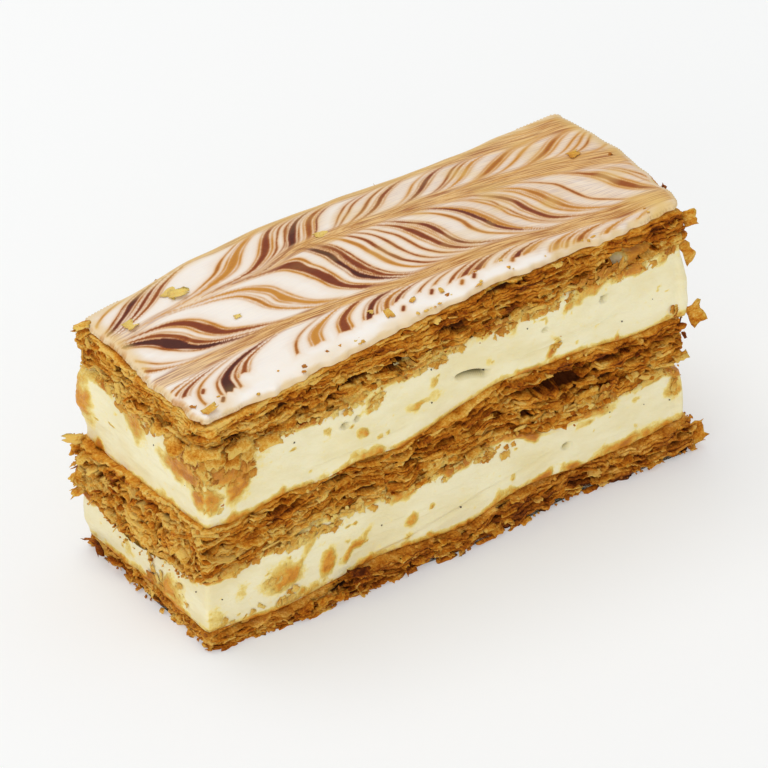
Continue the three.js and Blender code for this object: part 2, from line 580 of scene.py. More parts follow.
class Signal:
    """A value in a finish's nodes, on which ordinary arithmetic works."""

    def __init__(self, nodes: "Nodes", socket: bpy.types.NodeSocket) -> None:
        """Wrap an output socket."""
        self.nodes = nodes
        self.socket = socket

    __add__ = __radd__ = operator("ADD")
    __sub__ = operator("SUBTRACT")
    __rsub__ = operator("SUBTRACT", swapped=True)
    __mul__ = __rmul__ = operator("MULTIPLY")
    __truediv__ = operator("DIVIDE")
    __rtruediv__ = operator("DIVIDE", swapped=True)

    def clamp(self) -> "Signal":
        """Keep between 0 and 1."""
        return self.nodes.add("Clamp", {}, {"Value": self})

    def ease(self, low: float, high: float) -> "Signal":
        """Rise smoothly from 0 at `low` to 1 at `high`."""
        settings = {"interpolation_type": "SMOOTHSTEP"}
        return self.nodes.add("MapRange", settings, {"Value": self, "From Min": low, "From Max": high})

    def fall(self, low: float, high: float) -> "Signal":
        """Fall smoothly from 1 at `low` to 0 at `high`."""
        return 1.0 - self.ease(low, high)


class Nodes:
    """The node tree of one material."""

    def __init__(self, name: str) -> None:
        """Start a material with a plain surface shader.

        Args:
            name: Name of the material.
        """
        self.material = bpy.data.materials.new(name)
        self.material.use_nodes = True
        self.tree = self.material.node_tree
        self.shader = self.tree.nodes["Principled BSDF"]
        self.place = self.add("TexCoord", {}, {}, "Object")

    def add(
        self,
        kind: str,
        settings: Mapping[str, Any],
        inputs: Mapping[str | int, Any],
        output: str | int = 0,
    ) -> Signal:
        """Add a node.

        Args:
            kind: The node's type, without "ShaderNode" in front.
            settings: Its own settings, which are set first. `stops` fills a colour ramp.
            inputs: Values or signals for its sockets.
            output: Which output is given back.

        Returns:
            The chosen output.
        """
        node = self.tree.nodes.new("ShaderNode" + kind)
        for key, value in settings.items():
            if key == "stops":
                self._fill_ramp(node.color_ramp, value)
            else:
                setattr(node, key, value)
        for key, value in inputs.items():
            self.feed(node.inputs[key], value)
        return Signal(self, node.outputs[output])

    def feed(self, socket: bpy.types.NodeSocket, value: Any) -> None:
        """Set a socket to a value, or link a signal to it."""
        if isinstance(value, Signal):
            self.tree.links.new(value.socket, socket)
        else:
            socket.default_value = value

    @staticmethod
    def _fill_ramp(ramp: bpy.types.ColorRamp, stops: Stops) -> None:
        """Set a ramp's stops, each a position and a colour code."""
        while len(ramp.elements) > 1:
            ramp.elements.remove(ramp.elements[0])
        ramp.elements[0].position = stops[0][0]
        ramp.elements[0].color = colour(stops[0][1])
        for position, code in stops[1:]:
            ramp.elements.new(position).color = colour(code)

    def field(self, name: str) -> Signal:
        """Read a value that the mesh holds for each point."""
        return self.add("Attribute", {"attribute_name": name}, {}, "Fac")

    def ramp(self, factor: Signal, stops: Stops) -> Signal:
        """Turn a value into a colour."""
        return self.add("ValToRGB", {"stops": stops}, {"Fac": factor}, "Color")

    def stretched(self, size: Sequence[float]) -> Signal:
        """Scale the object's coordinates so that `size` millimetres become one unit."""
        settings = {"operation": "DIVIDE"}
        parts = tuple(length * MM for length in size)
        return self.add("VectorMath", settings, {0: self.place, 1: parts}, "Vector")

    def grain(self, size: Sequence[float], detail: float = 3.0, rough: float = 0.6) -> Signal:
        """Noise with features of a size in millimetres along X, Y and Z, from 0 to 1."""
        inputs = {"Vector": self.stretched(size), "Scale": 1.0, "Detail": detail, "Roughness": rough}
        return self.add("TexNoise", {}, inputs, "Fac")

    def strands(self, across: str, length: float, width: float) -> Signal:
        """Streaks that follow a curved line, from 0 to 1.

        Args:
            across: Name of the mesh's value that says how far off the line a point lies.
            length: Usual length of a streak, in millimetres.
            width: Usual width of a streak, in millimetres.
        """
        split = self.add("SeparateXYZ", {}, {0: self.place}, "X")
        inputs = {"X": split / (length * MM), "Y": self.field(across) / width}
        vector = self.add("CombineXYZ", {}, inputs, 0)
        return self.add("TexNoise", {}, {"Vector": vector, "Scale": 1.0, "Detail": 3.0}, "Fac")

    def mix(self, factor: Any, first: Any, second: Any) -> Signal:
        """Mix two colours."""
        return self.add("Mix", {"data_type": "RGBA"}, {0: factor, 6: first, 7: second}, 2)

    def bump(self, height: Signal, distance: float, strength: float = 1.0) -> Signal:
        """Turn a height into a bumpy normal, `distance` millimetres deep."""
        inputs = {"Height": height, "Distance": distance * MM, "Strength": strength}
        return self.add("Bump", {}, inputs, "Normal")

    def surface(self, **inputs: Any) -> bpy.types.Material:
        """Set the surface shader's sockets by name, with underscores for spaces."""
        for key, value in inputs.items():
            self.feed(self.shader.inputs[key.replace("_", " ")], value)
        return self.material


@dataclass(frozen=True)
class PastryFinish:
    """Baked puff pastry: golden leaves with partly painted highlights on their rims, caramel below, and
    painted shade in the gaps.

    Attributes:
        name: Name of the finish.
        stops: Colours from the palest leaves to the most baked.
        gap: Colour of the painted shade deep between the leaves.
        gloss: How much butter shows as shine.
        mottle: How uneven its colour is.
    """

    name: str
    stops: Stops
    gap: str = "4E2408"
    gloss: float = 0.08
    mottle: float = 1.1

    def make(self) -> bpy.types.Material:
        """Build the material."""
        nodes = Nodes(self.name)
        fine = nodes.grain((0.55, 0.55, 0.35), 5.0, 0.72)
        broad = nodes.grain((5.0, 5.0, 2.2), 3.0)
        tone = nodes.field("tone") + ((fine - 0.5) * 1.2 + (broad - 0.5) * 1.3) * self.mottle
        leaf = nodes.ramp(tone.clamp(), self.stops)
        # Painted shade: gaps between the leaves and the hollows are mixed towards the dark gap colour.
        recess = nodes.field("recess") + (fine - 0.5) * 0.3
        base = nodes.mix(recess.ease(0.15, 0.95), leaf, colour(self.gap))
        glaze = nodes.grain((1.3, 1.3, 0.8), 2.0)
        rough = 0.68 - 0.3 * glaze.ease(0.5, 0.75)
        crumb = nodes.grain((0.42, 0.42, 0.28), 4.0, 0.7)
        normal = nodes.bump(crumb, 0.30, 0.9)
        return nodes.surface(
            Base_Color=base,
            Roughness=rough,
            Normal=normal,
            Specular_IOR_Level=self.gloss,
            Subsurface_Weight=0.12,
            Subsurface_Radius=(1.0, 0.45, 0.12),
            Subsurface_Scale=0.8 * MM,
        )


@dataclass(frozen=True)
class CreamFinish:
    """Pastry cream: pale yellow and smooth, with crumb smeared over it by the knife.

    Attributes:
        name: Name of the finish.
        clean, shade: The two tones of clean cream.
        smear: Colours from a thin film of crumb to thick crumb.
        gap: Colour of the painted shade deep in the folds, cuts and pockets.
    """

    name: str = "pastry_cream"
    clean: str = "F4EBC4"
    shade: str = "EDE0AF"
    smear: Stops = ((0.0, "F4E08C"), (0.3, "ECC256"), (0.6, "DF982A"), (1.0, "BC7014"))
    gap: str = "575028"

    def make(self) -> bpy.types.Material:
        """Build the material."""
        nodes = Nodes(self.name)
        cloud = nodes.grain((12.0, 12.0, 6.0), 3.0)
        fine = nodes.grain((0.8, 0.8, 0.8), 4.0, 0.7)
        chunk = nodes.grain((2.0, 2.0, 1.6), 2.0)
        amount = nodes.field("smear") + (fine - 0.5) * 0.65 + (chunk - 0.5) * 0.5
        clean = nodes.mix(cloud.ease(0.35, 0.7), colour(self.clean), colour(self.shade))
        film = nodes.ramp(amount.ease(0.12, 1.38), self.smear)
        coated = nodes.mix(amount.ease(0.04, 0.34), clean, film)
        # Painted shade: the knife cuts and the pockets are darkened towards the gap colour.
        base = nodes.mix(nodes.field("shade"), coated, colour(self.gap))
        rough = 0.45 - 0.1 * amount.ease(0.3, 0.6)
        streak = nodes.grain((16.0, 16.0, 0.7), 3.0)
        dimple = nodes.grain((2.2, 2.2, 1.4), 3.0)
        relief = streak * 0.5 + dimple * 0.8 + amount.ease(0.2, 0.8) * (0.3 + 1.1 * fine)
        normal = nodes.bump(relief, 0.34, 0.9)
        return nodes.surface(
            Base_Color=base,
            Roughness=rough,
            Normal=normal,
            Specular_IOR_Level=0.35,
            Subsurface_Weight=0.15,
            Subsurface_Radius=(1.0, 0.8, 0.45),
            Subsurface_Scale=1.5 * MM,
        )


@dataclass(frozen=True)
class FondantFinish:
    """White poured fondant with chocolate lines drawn through it.

    Attributes:
        name: Name of the finish.
        white: Colour of clean fondant.
        band, band_dark: Colours of the strands in the combed bands.
        halo: Colour that bleeds out of the lines.
        chocolate: Colours of the lines, from the darkest.
        glazed: Colour where pastry shows through.
        crumb: Colour of crumb on it.
    """

    name: str = "feathered_fondant"
    white: str = "F4EDE4"
    band: str = "E6BE80"
    band_dark: str = "9C5826"
    halo: str = "D8A04E"
    chocolate: Stops = ((0.0, "4A1A0A"), (0.3, "7E350F"), (0.6, "A05718"), (1.0, "C88830"))
    glazed: str = "E0BC70"
    crumb: str = "C98A3C"

    def make(self) -> bpy.types.Material:
        """Build the material."""
        nodes = Nodes(self.name)
        fine = nodes.grain((0.9, 0.35, 0.9), 3.0)
        distance = nodes.field("line_distance") + (fine - 0.5) * 0.16
        inside = (distance * -2.6).clamp()
        tone = nodes.field("line_tone") + (1.0 - inside) * 0.35 + (fine - 0.5) * 0.25
        line = nodes.ramp(tone.clamp(), self.chocolate)
        streak = nodes.strands("strand", 8.0, 0.26)
        band = nodes.mix(streak.ease(0.42, 0.62), colour(self.band), colour(self.band_dark))
        ground = nodes.mix(nodes.field("drawn"), colour(self.white), band)
        strength = nodes.field("line_strength")
        haze = distance.fall(0.0, 0.6) * 0.4 + distance.fall(0.0, 2.2) * 0.22
        around = nodes.mix(haze * strength, ground, colour(self.halo))
        cover = distance.fall(-0.15, 0.20) * strength
        base = nodes.mix(cover, around, line)
        thin = nodes.mix(nodes.field("thin") * 0.65, base, colour(self.glazed))
        crumbed = nodes.mix(nodes.field("crumbed"), thin, colour(self.crumb))
        ripple = nodes.grain((3.0, 2.4, 3.0), 2.0)
        relief = ripple * 0.7 + cover * 0.25
        normal = nodes.bump(relief, 0.12, 0.6)
        return nodes.surface(
            Base_Color=crumbed,
            Roughness=0.34 + 0.12 * fine,
            Normal=normal,
            Specular_IOR_Level=0.2,
            Subsurface_Weight=0.08,
            Subsurface_Radius=(1.0, 0.8, 0.6),
            Subsurface_Scale=1.0 * MM,
        )


@dataclass(frozen=True)
class SpeckFinish:
    """Ground vanilla pod: nearly black and dull."""

    name: str = "vanilla_seed"

    def make(self) -> bpy.types.Material:
        """Build the material."""
        nodes = Nodes(self.name)
        base = nodes.ramp(nodes.grain((0.2, 0.2, 0.2)), ((0.2, "1C120B"), (0.8, "4A3420")))
        return nodes.surface(Base_Color=base, Roughness=0.8)


@dataclass(frozen=True)
class FloorFinish:
    """A plain pale board that glows a little, like a light table.

    Attributes:
        name: Name of the finish.
        code, second: Its two nearly equal tones.
        glow: How much light it gives off.
    """

    name: str = "pale_board"
    code: str = "D1D3D3"
    second: str = "D0D0CF"
    glow: float = 0.312

    def make(self) -> bpy.types.Material:
        """Build the material."""
        nodes = Nodes(self.name)
        shade = nodes.grain((400.0, 400.0, 400.0), 1.0)
        base = nodes.mix(shade, colour(self.code), colour(self.second))
        return nodes.surface(
            Base_Color=base,
            Roughness=0.9,
            Specular_IOR_Level=0.1,
            Emission_Color=(1.0, 1.0, 1.0, 1.0),
            Emission_Strength=self.glow,
        )


GOLDEN = PastryFinish(
    "golden_leaves",
    ((0.0, "F0C566"), (0.22, "E2A33C"), (0.48, "CA7A1A"), (0.74, "9A4E0A"), (1.0, "562406")),
)
WELL_BAKED = PastryFinish(
    "well_baked_leaves",
    ((0.0, "F0BE60"), (0.25, "D69232"), (0.5, "B26616"), (0.75, "82400A"), (1.0, "4A1E06")),
    gap="260F04",
)
AMBER = PastryFinish(
    "amber_crumb",
    ((0.0, "F5D274"), (0.3, "E6AC42"), (0.6, "CE841F"), (1.0, "A05A0C")),
    gap="96520E",
    gloss=0.3,
    mottle=0.5,
)


# ---- puff pastry


@dataclass(frozen=True)
class Hollow(Patch):
    """A place where leaves have fallen back and left a dark hollow.

    Attributes:
        length: How long it is.
        rise: How tall it is.
        depth: How deep it is.
    """

    length: float
    rise: float
    depth: float

    def apart(self, x: Array, y: Array, heights: Array) -> Array:
        """How far points are from its middle, where its edge is at 1."""
        far_along = (self.side.along(x, y) - self.along) / (self.length / 2)
        return np.hypot(far_along, (heights - self.height) / (self.rise / 2))


@dataclass
class PuffPastry:
    """One baked sheet of puff pastry, as a stack of thin ragged leaves.

    Attributes:
        node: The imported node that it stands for.
        finish: How well it is baked.
        seed: Which random shape it has.
        flakes, shards: How many loose flakes and torn shards it carries.
        leaf: Usual thickness of a leaf and the gap under it.
        spacing, corner: Step of its ring, and how softly the ring's corners are rounded.
        ragged: How uneven its lower and upper edges are.
        hollows: Its larger hollows.
        flat_base: Whether it stands on the board.
        base_tone: How baked its leaves are, from 0 to 1.
        bake: How much more or less they are baked along X.
        shredded: How far its ends are torn to shreds, from 0 to 1.
        ring: The places around it.
        low, high: Heights of its lower and upper edge at each place.
        leaves: How many leaves it has.
        bundle: The number of the bundle that each leaf belongs to.
    """

    node: str
    finish: PastryFinish
    seed: int
    flakes: int
    shards: int
    leaf: float
    spacing: float = 0.33
    corner: float = 0.5
    ragged: tuple[float, float] = (1.0, 1.0)
    hollows: tuple[Hollow, ...] = ()
    flat_base: bool = False
    base_tone: float = 0.42
    bake: Track = Track((-57, -0.04), (-20, 0.02), (20, 0.12), (57, 0.12))
    shredded: float = 0.5
    ring: Ring = field(init=False)
    low: Array = field(init=False)
    high: Array = field(init=False)
    leaves: int = field(init=False)
    bundle: Array = field(init=False)

    def __post_init__(self) -> None:
        """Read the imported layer, count the leaves and number the bundles that hold together."""
        shape = LayerShape(self.node)
        self.ring = shape.ring(self.spacing, self.corner)
        low, high = shape.levels(self.ring)
        self.low = low + self.ragged[0] * self._ragged_line(5)
        self.high = high + self.ragged[1] * self._ragged_line(8)
        self.leaves = max(5, round(float(np.mean(self.high - self.low)) / self.leaf))
        starts = np.random.default_rng(self.seed).uniform(size=self.leaves) < 0.38
        self.bundle = np.cumsum(starts)[:, None]

    def _noise(self, number: int, size: float, *more: Array) -> Array:
        """Random values around the sheet, with features `size` millimetres long."""
        return noise(self.seed + number, self.ring.x / size, self.ring.y / size, *more)

    def _apart(self, numbers: Array | None = None) -> Array:
        """Coordinates that give every leaf, or every numbered group, a noise of its own."""
        return (np.arange(self.leaves)[:, None] if numbers is None else numbers) * 5.3

    def _ragged_line(self, number: int) -> Array:
        """Uneven line around the sheet, in millimetres either way."""
        lumps = 0.45 * self._noise(number, 3.2) + 0.32 * self._noise(number + 1, 1.3)
        return lumps + 0.16 * self._noise(number + 2, 0.6)

    def _shreds(self) -> Array:
        """How far each place around the sheet is torn to shreds."""
        return self.shredded * (self.ring.faces(Side.LEFT) + self.ring.faces(Side.RIGHT))

    def _openness(self) -> Array:
        """How open the gap below each leaf is, from 0 to 1, shaped leaves by columns."""
        own = self._apart()
        first = np.diff(self.bundle, axis=0, prepend=self.bundle[:1] - 1) > 0
        start = np.where(first, -0.12, 0.42)
        lens = self._noise(31, 4.6, own) + 0.16 * self._noise(32, 1.1, own)
        opened = smoothstep(0.0, 0.34, lens - start)
        shreds = self._shreds()
        torn = smoothstep(0.05, 0.45, self._noise(34, 1.3, own))
        return opened * (1.0 - 0.5 * shreds) + 0.85 * shreds * torn

    def _seams(self, openness: Array) -> Array:
        """Heights of the seams between leaves, which wander and part at the gaps.

        Args:
            openness: How open the gap below each leaf is.

        Returns:
            Heights, shaped leaves + 1 by columns.
        """
        own = self._apart()
        seam = np.arange(self.leaves + 1)[:, None]
        thick = 1.0 + 0.42 * self._noise(11, 9.0, own) + 0.22 * self._noise(12, 1.6, own) + 1.1 * openness
        share = np.concatenate([np.zeros((1, thick.shape[1])), np.cumsum(thick, axis=0)])
        share = share / share[-1:]
        tangle = self._noise(14, 1.2, seam / 1.2)
        jag = 0.12 * self._noise(13, 0.8, self._apart(seam)) + 0.55 * self._shreds() * tangle
        heights = self.low + (self.high - self.low) * share + jag * np.sin(math.pi * share) ** 0.3
        return np.maximum.accumulate(heights, axis=0)

    def _stand(self) -> Array:
        """How far each leaf's rim stands out, in millimetres, shaped leaves by columns."""
        own = self._apart()
        swell = self._noise(21, 8.0, np.arange(self.leaves)[:, None] / 5.0)
        stand = 0.35 * swell + 0.75 * self._noise(25, 3.2, self._apart(self.bundle))
        stand = stand + 0.34 * self._noise(22, 2.6, own) + 0.26 * self._noise(23, 1.0, own)
        stand = stand + 0.16 * self._noise(24, 0.5, own) - 0.2
        stand = stand - 0.65 * smoothstep(0.42, 0.52, self._noise(26, 2.3, own))
        return stand + 0.7 * smoothstep(0.62, 0.8, self._noise(33, 2.6, own))

    def _hollowing(self, heights: Array) -> tuple[Array, Array]:
        """How far the leaves fall back in the larger hollows.

        Args:
            heights: Height of each point.

        Returns:
            Share of hollow, from 0 to 1, and its depth, at each point.
        """
        ring = self.ring
        share = np.zeros_like(heights)
        depth = np.zeros_like(heights)
        ragged = 0.30 * fractal(self.seed + 41, 2, ring.x / 1.8, ring.y / 1.8, heights / 0.7)
        for hollow in self.hollows:
            inside = 1.0 - hollow.apart(ring.x, ring.y, heights) + ragged
            mine = smoothstep(0.0, 0.22, inside) * ring.faces(hollow.side)
            share = np.maximum(share, mine)
            depth = np.maximum(depth, hollow.depth * mine)
        return share, depth

    def upper_bake(self, heights: Array, column: Array | slice = slice(None)) -> Array:
        """How much browner the upper leaves are than the soaked lower ones.

        Args:
            heights: Height of each point.
            column: Numbers of the places around the ring, or all of them.

        Returns:
            What is added to the tone of each point.
        """
        low, high = self.low[column], self.high[column]
        share = np.clip((heights - low) / (high - low), 0.0, 1.0)
        along = 0.35 + 0.65 * smoothstep(-45.0, 0.0, self.ring.x[column])
        return 0.0 if self.flat_base else 0.26 * (share - 0.45) * along

    def in_hollow(self, column: Array, heights: Array) -> Array:
        """Tell which places on the rim lie in one of the larger hollows.

        Args:
            column: Numbers of the places around the ring.
            heights: Their heights.

        Returns:
            True for each place in a hollow.
        """
        ring = self.ring
        inside = np.zeros(len(column), dtype=bool)
        for hollow in self.hollows:
            apart = hollow.apart(ring.x[column], ring.y[column], heights)
            inside |= (apart < 1.3) & (ring.faces(hollow.side)[column] > 0.5)
        return inside

    def rim_places(self, rng: np.random.Generator, count: int) -> tuple[Array, Array, Array, Array]:
        """Pick random places on the cut sides, outside the hollows.

        Args:
            rng: Source of random numbers.
            count: How many places are tried.

        Returns:
            The places, the ways out, shares of the way up, and numbers of the ring's places.
        """
        column = rng.integers(0, len(self.ring.x), count)
        level = rng.uniform(0.03, 0.97, count)
        z = self.low[column] + (self.high[column] - self.low[column]) * level
        kept = ~self.in_hollow(column, z)
        column, level, z = column[kept], level[kept], z[kept]
        return self.ring.at(column, z), self.ring.outward(column), level, column

    def build(self) -> None:
        """Build the sheet and fix it to the slice."""
        ring = self.ring
        openness = self._openness()
        seams = self._seams(openness)
        foot, head = seams[:-1], seams[1:]
        stand = self._stand()
        pitch = np.maximum(head - foot, 0.05)
        gap = (0.10 + 0.55 * openness) * pitch
        back = stand - (0.16 + 2.2 * openness)
        droop = 0.25 * (self._noise(51, 1.6, self._apart()) - 0.15) * np.minimum(pitch, 0.8)
        grade = self.base_tone + 0.24 * self._noise(61, 3.0, self._apart())
        grade = grade + 0.26 * self._noise(62, 5.0, self._apart(self.bundle))
        grade = grade + self.bake(ring.x) - 0.08 * ring.faces(Side.LEFT)
        # Painted shade and highlight: the rows in the gap under each leaf are darkened, more where the
        # gap is open, and the leaf's upper rim is given a paler tone.
        deep = 0.45 + 0.55 * openness
        rows = (
            (foot + 0.03 * pitch, back, grade + 0.2, deep),
            (foot + 0.92 * gap, back + 0.05, grade + 0.2, deep),
            (foot + gap + droop, stand - 0.10, grade + 0.1, 0.35 * deep),
            (foot + gap + 0.5 * (head - foot - gap) + droop, stand + 0.04, grade - 0.06, 0.0 * deep),
            (head - 0.03 * pitch + droop, stand - 0.07, grade - 0.12, 0.0 * deep),
        )
        columns = len(ring.x)
        z, out, tone, recess = (np.stack(values, axis=1).reshape(-1, columns) for values in zip(*rows))
        order = np.arange(len(z))[:, None] * 3.7
        out = out + 0.16 * self._noise(81, 0.65, order)
        z = z + 0.06 * self._noise(82, 0.65, order)
        hollow, depth = self._hollowing(z)
        # Painted shade fills the larger hollows.
        recess = np.maximum(recess, smoothstep(0.3, 1.0, hollow))
        out = out * (1.0 - 0.8 * hollow) - depth
        soaked = np.minimum(z - self.low + 9.0 * self.flat_base, self.high - z)
        tone = tone - 0.16 * smoothstep(1.4, 0.0, soaked) + self.upper_bake(z)
        if self.flat_base:
            z = np.maximum(z, 0.0)
            z[0] = 0.0
        side = np.stack([*ring.moved(out), z], axis=-1)
        below = self._inner_rows(self.low, outwards=False)
        above = self._inner_rows(self.high, outwards=True)
        points = np.concatenate([below, side, above])
        tone = np.concatenate([np.full(below.shape[:2], 0.5), tone, np.full(above.shape[:2], 0.3)])
        recess = np.pad(recess, ((len(below), len(above)), (0, 0)))
        shell = Shell(points, {"tone": tone, "recess": recess}, (len(below), len(below) + len(side) - 1))
        settle(shell.make(self.node + "_leaves", self.finish.make()), "puff_pastry", self.node)

    def _inner_rows(self, heights: Array, outwards: bool) -> Array:
        """Carry the skin inwards over the top or under the bottom.

        Args:
            heights: Height of the layer's face around the ring.
            outwards: Whether the rows follow the side, rather than lead up to it.

        Returns:
            Three more rows, in the order in which they are joined.
        """
        rows = []
        for inset in (0.9, 2.6, 7.0):
            x, y = self.ring.moved(-inset)
            rough = 0.12 * noise(self.seed + 71, x / 1.1, y / 1.1)
            z = np.zeros_like(x) if self.flat_base and not outwards else heights + rough
            rows.append(np.stack([x, y, z], axis=-1))
        return np.array(rows if outwards else rows[::-1])


# ---- pastry cream


@dataclass(frozen=True)
class Smear(Patch):
    """A patch of crumb that the knife dragged over the cream.

    Attributes:
        length: Its longer size.
        width: Its shorter size.
        tilt: How far its long way leans up from level, in degrees.
        strength: How dense it is.
    """

    length: float
    width: float
    tilt: float
    strength: float

    def apart(self, right: Array, up: Array) -> Array:
        """How far points are from its middle, where its edge is at 1.

        Args:
            right, up: Distances from its middle along the side and upwards.
        """
        cosine, sine = math.cos(math.radians(self.tilt)), math.sin(math.radians(self.tilt))
        long_way = (right * cosine + up * sine) / (self.length / 2)
        return np.hypot(long_way, (up * cosine - right * sine) / (self.width / 2))


@dataclass
class CreamFilling:
    """One filling of pastry cream, smoothed by the knife at the cut.

    Attributes:
        node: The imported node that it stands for.
        seed: Which random shape it has.
        smears: Its larger patches of crumb.
        pits: Small holes in its near side: along, height and size.
        ridges: Long low ridges that the knife left: middle along, height, length and slope.
        slits: Open folds in its near side: middle along, height and length.
        bulges: Swellings: side, middle along, height, half size along, half size up and amount.
        pockets: Places where it fills a hollow above it: side, along, length and rise.
        crowded: How strongly its rows crowd together, and around which share of its height.
        spacing, corner: Step of its ring, and how softly the ring's corners are rounded.
        rows: How many rows of points its side has.
        tucked: How far it reaches into the pastry above and below.
    """

    node: str
    seed: int
    smears: tuple[Smear, ...] = ()
    pits: tuple[tuple[float, float, float], ...] = ()
    ridges: tuple[tuple[float, float, float, float], ...] = ()
    slits: tuple[tuple[float, float, float], ...] = ()
    bulges: tuple[tuple[Side, float, float, float, float, float], ...] = ()
    pockets: tuple[tuple[Side, float, float, float], ...] = ()
    crowded: tuple[float, float] = (0.0, 0.5)
    spacing: float = 0.42
    corner: float = 0.55
    rows: int = 44
    tucked: float = 1.7

    WAVES = ((11, 0.28, 9.0, 6.0), (12, 0.08, 14.0, 0.9), (13, 0.09, 2.5, 1.8))
    CAP_INSET = 3.0

    def _smeared(self, ring: Ring, x: Array, y: Array, z: Array, inside: Array) -> Array:
        """Work out how densely crumb covers each point.

        Args:
            ring: Places around the filling.
            x, y, z: The points.
            inside: Distance from the nearest sheet of pastry.

        Returns:
            Density, from 0 for clean cream to about 1.
        """
        patchy = fractal(self.seed + 1, 3, x / 3.2, y / 3.2, z / 2.6)
        lobes = noise(self.seed + 5, x / 4.0, y / 4.0, z / 9.0)
        lobes = lobes + 0.4 * noise(self.seed + 6, x / 1.6, y / 1.6)
        reach = 1.3 + 2.2 * np.maximum(lobes + 0.1, 0.0)
        density = smoothstep(1.0, 0.25, inside / reach) * (0.70 + 0.75 * patchy)
        speckle = fractal(self.seed + 2, 2, x / 1.9, y / 1.9, z / 1.7)
        density = np.maximum(density, 2.0 * (speckle - 0.76))
        warp = [0.8 * fractal(self.seed + step, 2, x / 2.2, y / 2.2, z / 2.2) for step in (3, 4)]
        for smear in self.smears:
            right = smear.side.along(x, y) - smear.along + warp[0]
            shown = smoothstep(1.55, 0.35, smear.apart(right, z - smear.height + warp[1]))
            shown = shown * smear.strength * (0.75 + 0.45 * patchy) * ring.faces(smear.side)
            density = np.maximum(density, shown)
        return density

    def _knife_marks(self, near: Array, x: Array, z: Array) -> Array:
        """Ridges, pits and open folds of the near side, as distances outwards.

        Args:
            near: How far each place belongs to the near side.
            x, z: The points.

        Returns:
            Distance outwards for each point.
        """
        out = np.zeros_like(z)
        for along, height, length, slope in self.ridges:
            offset = z - height - slope * (x - along)
            run = smoothstep(1.0, 0.5, np.abs(x - along) / (length / 2))
            out = out + 0.42 * run * near * np.exp(-((offset / 0.5) ** 2))
            out = out - 0.32 * run * near * np.exp(-(((offset + 0.9) / 0.5) ** 2))
        for along, height, size in self.pits:
            apart = np.hypot((x - along) / 1.4, z - height) / size
            out = out - 2.2 * size * near * smoothstep(1.0, 0.5, apart)
            out = out + 0.2 * size * near * np.exp(-(((apart - 1.15) / 0.25) ** 2))
        for along, height, length in self.slits:
            place = (x - along) / (length / 2)
            roof = height - 0.26 * (x - along) - 0.9 * place**2
            below = (roof - z) / (0.35 + 1.3 * np.sqrt(np.clip(1.0 - place**2, 0.0, 1.0)))
            mouth = smoothstep(-0.25, 0.25, below) * smoothstep(1.1, 0.3, below)
            out = out - 2.6 * near * mouth * smoothstep(1.0, 0.6, np.abs(place))
        return out

    def build(self) -> None:
        """Build the filling and fix it to the slice."""
        shape = LayerShape(self.node)
        ring = shape.ring(self.spacing, self.corner)
        low, roof = shape.levels(ring)
        low, roof = low - self.tucked, roof + self.tucked
        high = roof
        for side, along, length, rise in self.pockets:
            place = side.along(ring.x, ring.y) - along
            high = high + rise * np.exp(-((place / length * 2) ** 4)) * ring.faces(side)
        crowding, middle = self.crowded
        turn = 2.0 * np.pi
        level = np.linspace(0.0, 1.0, self.rows)[:, None]
        level = level - crowding / turn * (np.sin(turn * (level - middle)) + math.sin(turn * middle))
        z = low + (high - low) * level
        inside = np.minimum(z - low, roof - z) - self.tucked
        x = np.broadcast_to(ring.x, z.shape)
        y = np.broadcast_to(ring.y, z.shape)
        out = np.zeros_like(z)
        for number, amount, wide, tall in self.WAVES:
            out = out + amount * noise(self.seed + number, x / wide, y / wide, z / tall)
        for side, along, height, half_along, half_up, amount in self.bulges:
            apart = np.hypot((side.along(x, y) - along) / half_along, (z - height) / half_up)
            out = out + amount * smoothstep(1.0, 0.2, apart) * ring.faces(side, 0.1, 0.6)
        cuts = self._knife_marks(ring.faces(Side.NEAR), x, z)
        out = out + cuts
        density = self._smeared(ring, x, y, z, inside)
        lumps = fractal(self.seed + 14, 2, x / 1.1, y / 1.1, z / 1.1)
        out = out + smoothstep(0.3, 1.0, density) * (0.26 + 0.36 * lumps) * smoothstep(-0.6, 0.4, inside)
        out = out - 1.2 * smoothstep(0.1, -0.9, inside)
        out = out - 1.2 * smoothstep(-1.8, -3.0, inside)
        shade = 1.1 * smoothstep(-0.7, -2.6, cuts) + 0.35 * smoothstep(-1.8, -3.0, inside)
        side = np.stack([*ring.moved(out), z], axis=-1)
        inner = ring.moved(-self.CAP_INSET)
        below, above = (np.stack([*inner, edge], axis=-1)[None] for edge in (low, high))
        points = np.concatenate([below, side, above])
        fields = {"smear": density, "shade": shade}
        fields = {key: np.pad(values, ((1, 1), (0, 0))) for key, values in fields.items()}
        shell = Shell(points, fields, (1, self.rows))
        settle(shell.make(self.node + "_filling", CreamFinish().make()), "pastry_cream", self.node)


# ---- fondant


@dataclass(frozen=True)
class DrawnLine:
    """A chocolate line in the fondant.

    Attributes:
        place: Where it crosses the middle of its band, along X.
        width: How wide it was piped.
        tone: 0 for the darkest chocolate, 1 for caramel.
        reach: The Y that it stops at, where it ends before the near edge.
    """

    place: float
    width: float
    tone: float
    reach: float = -99.0


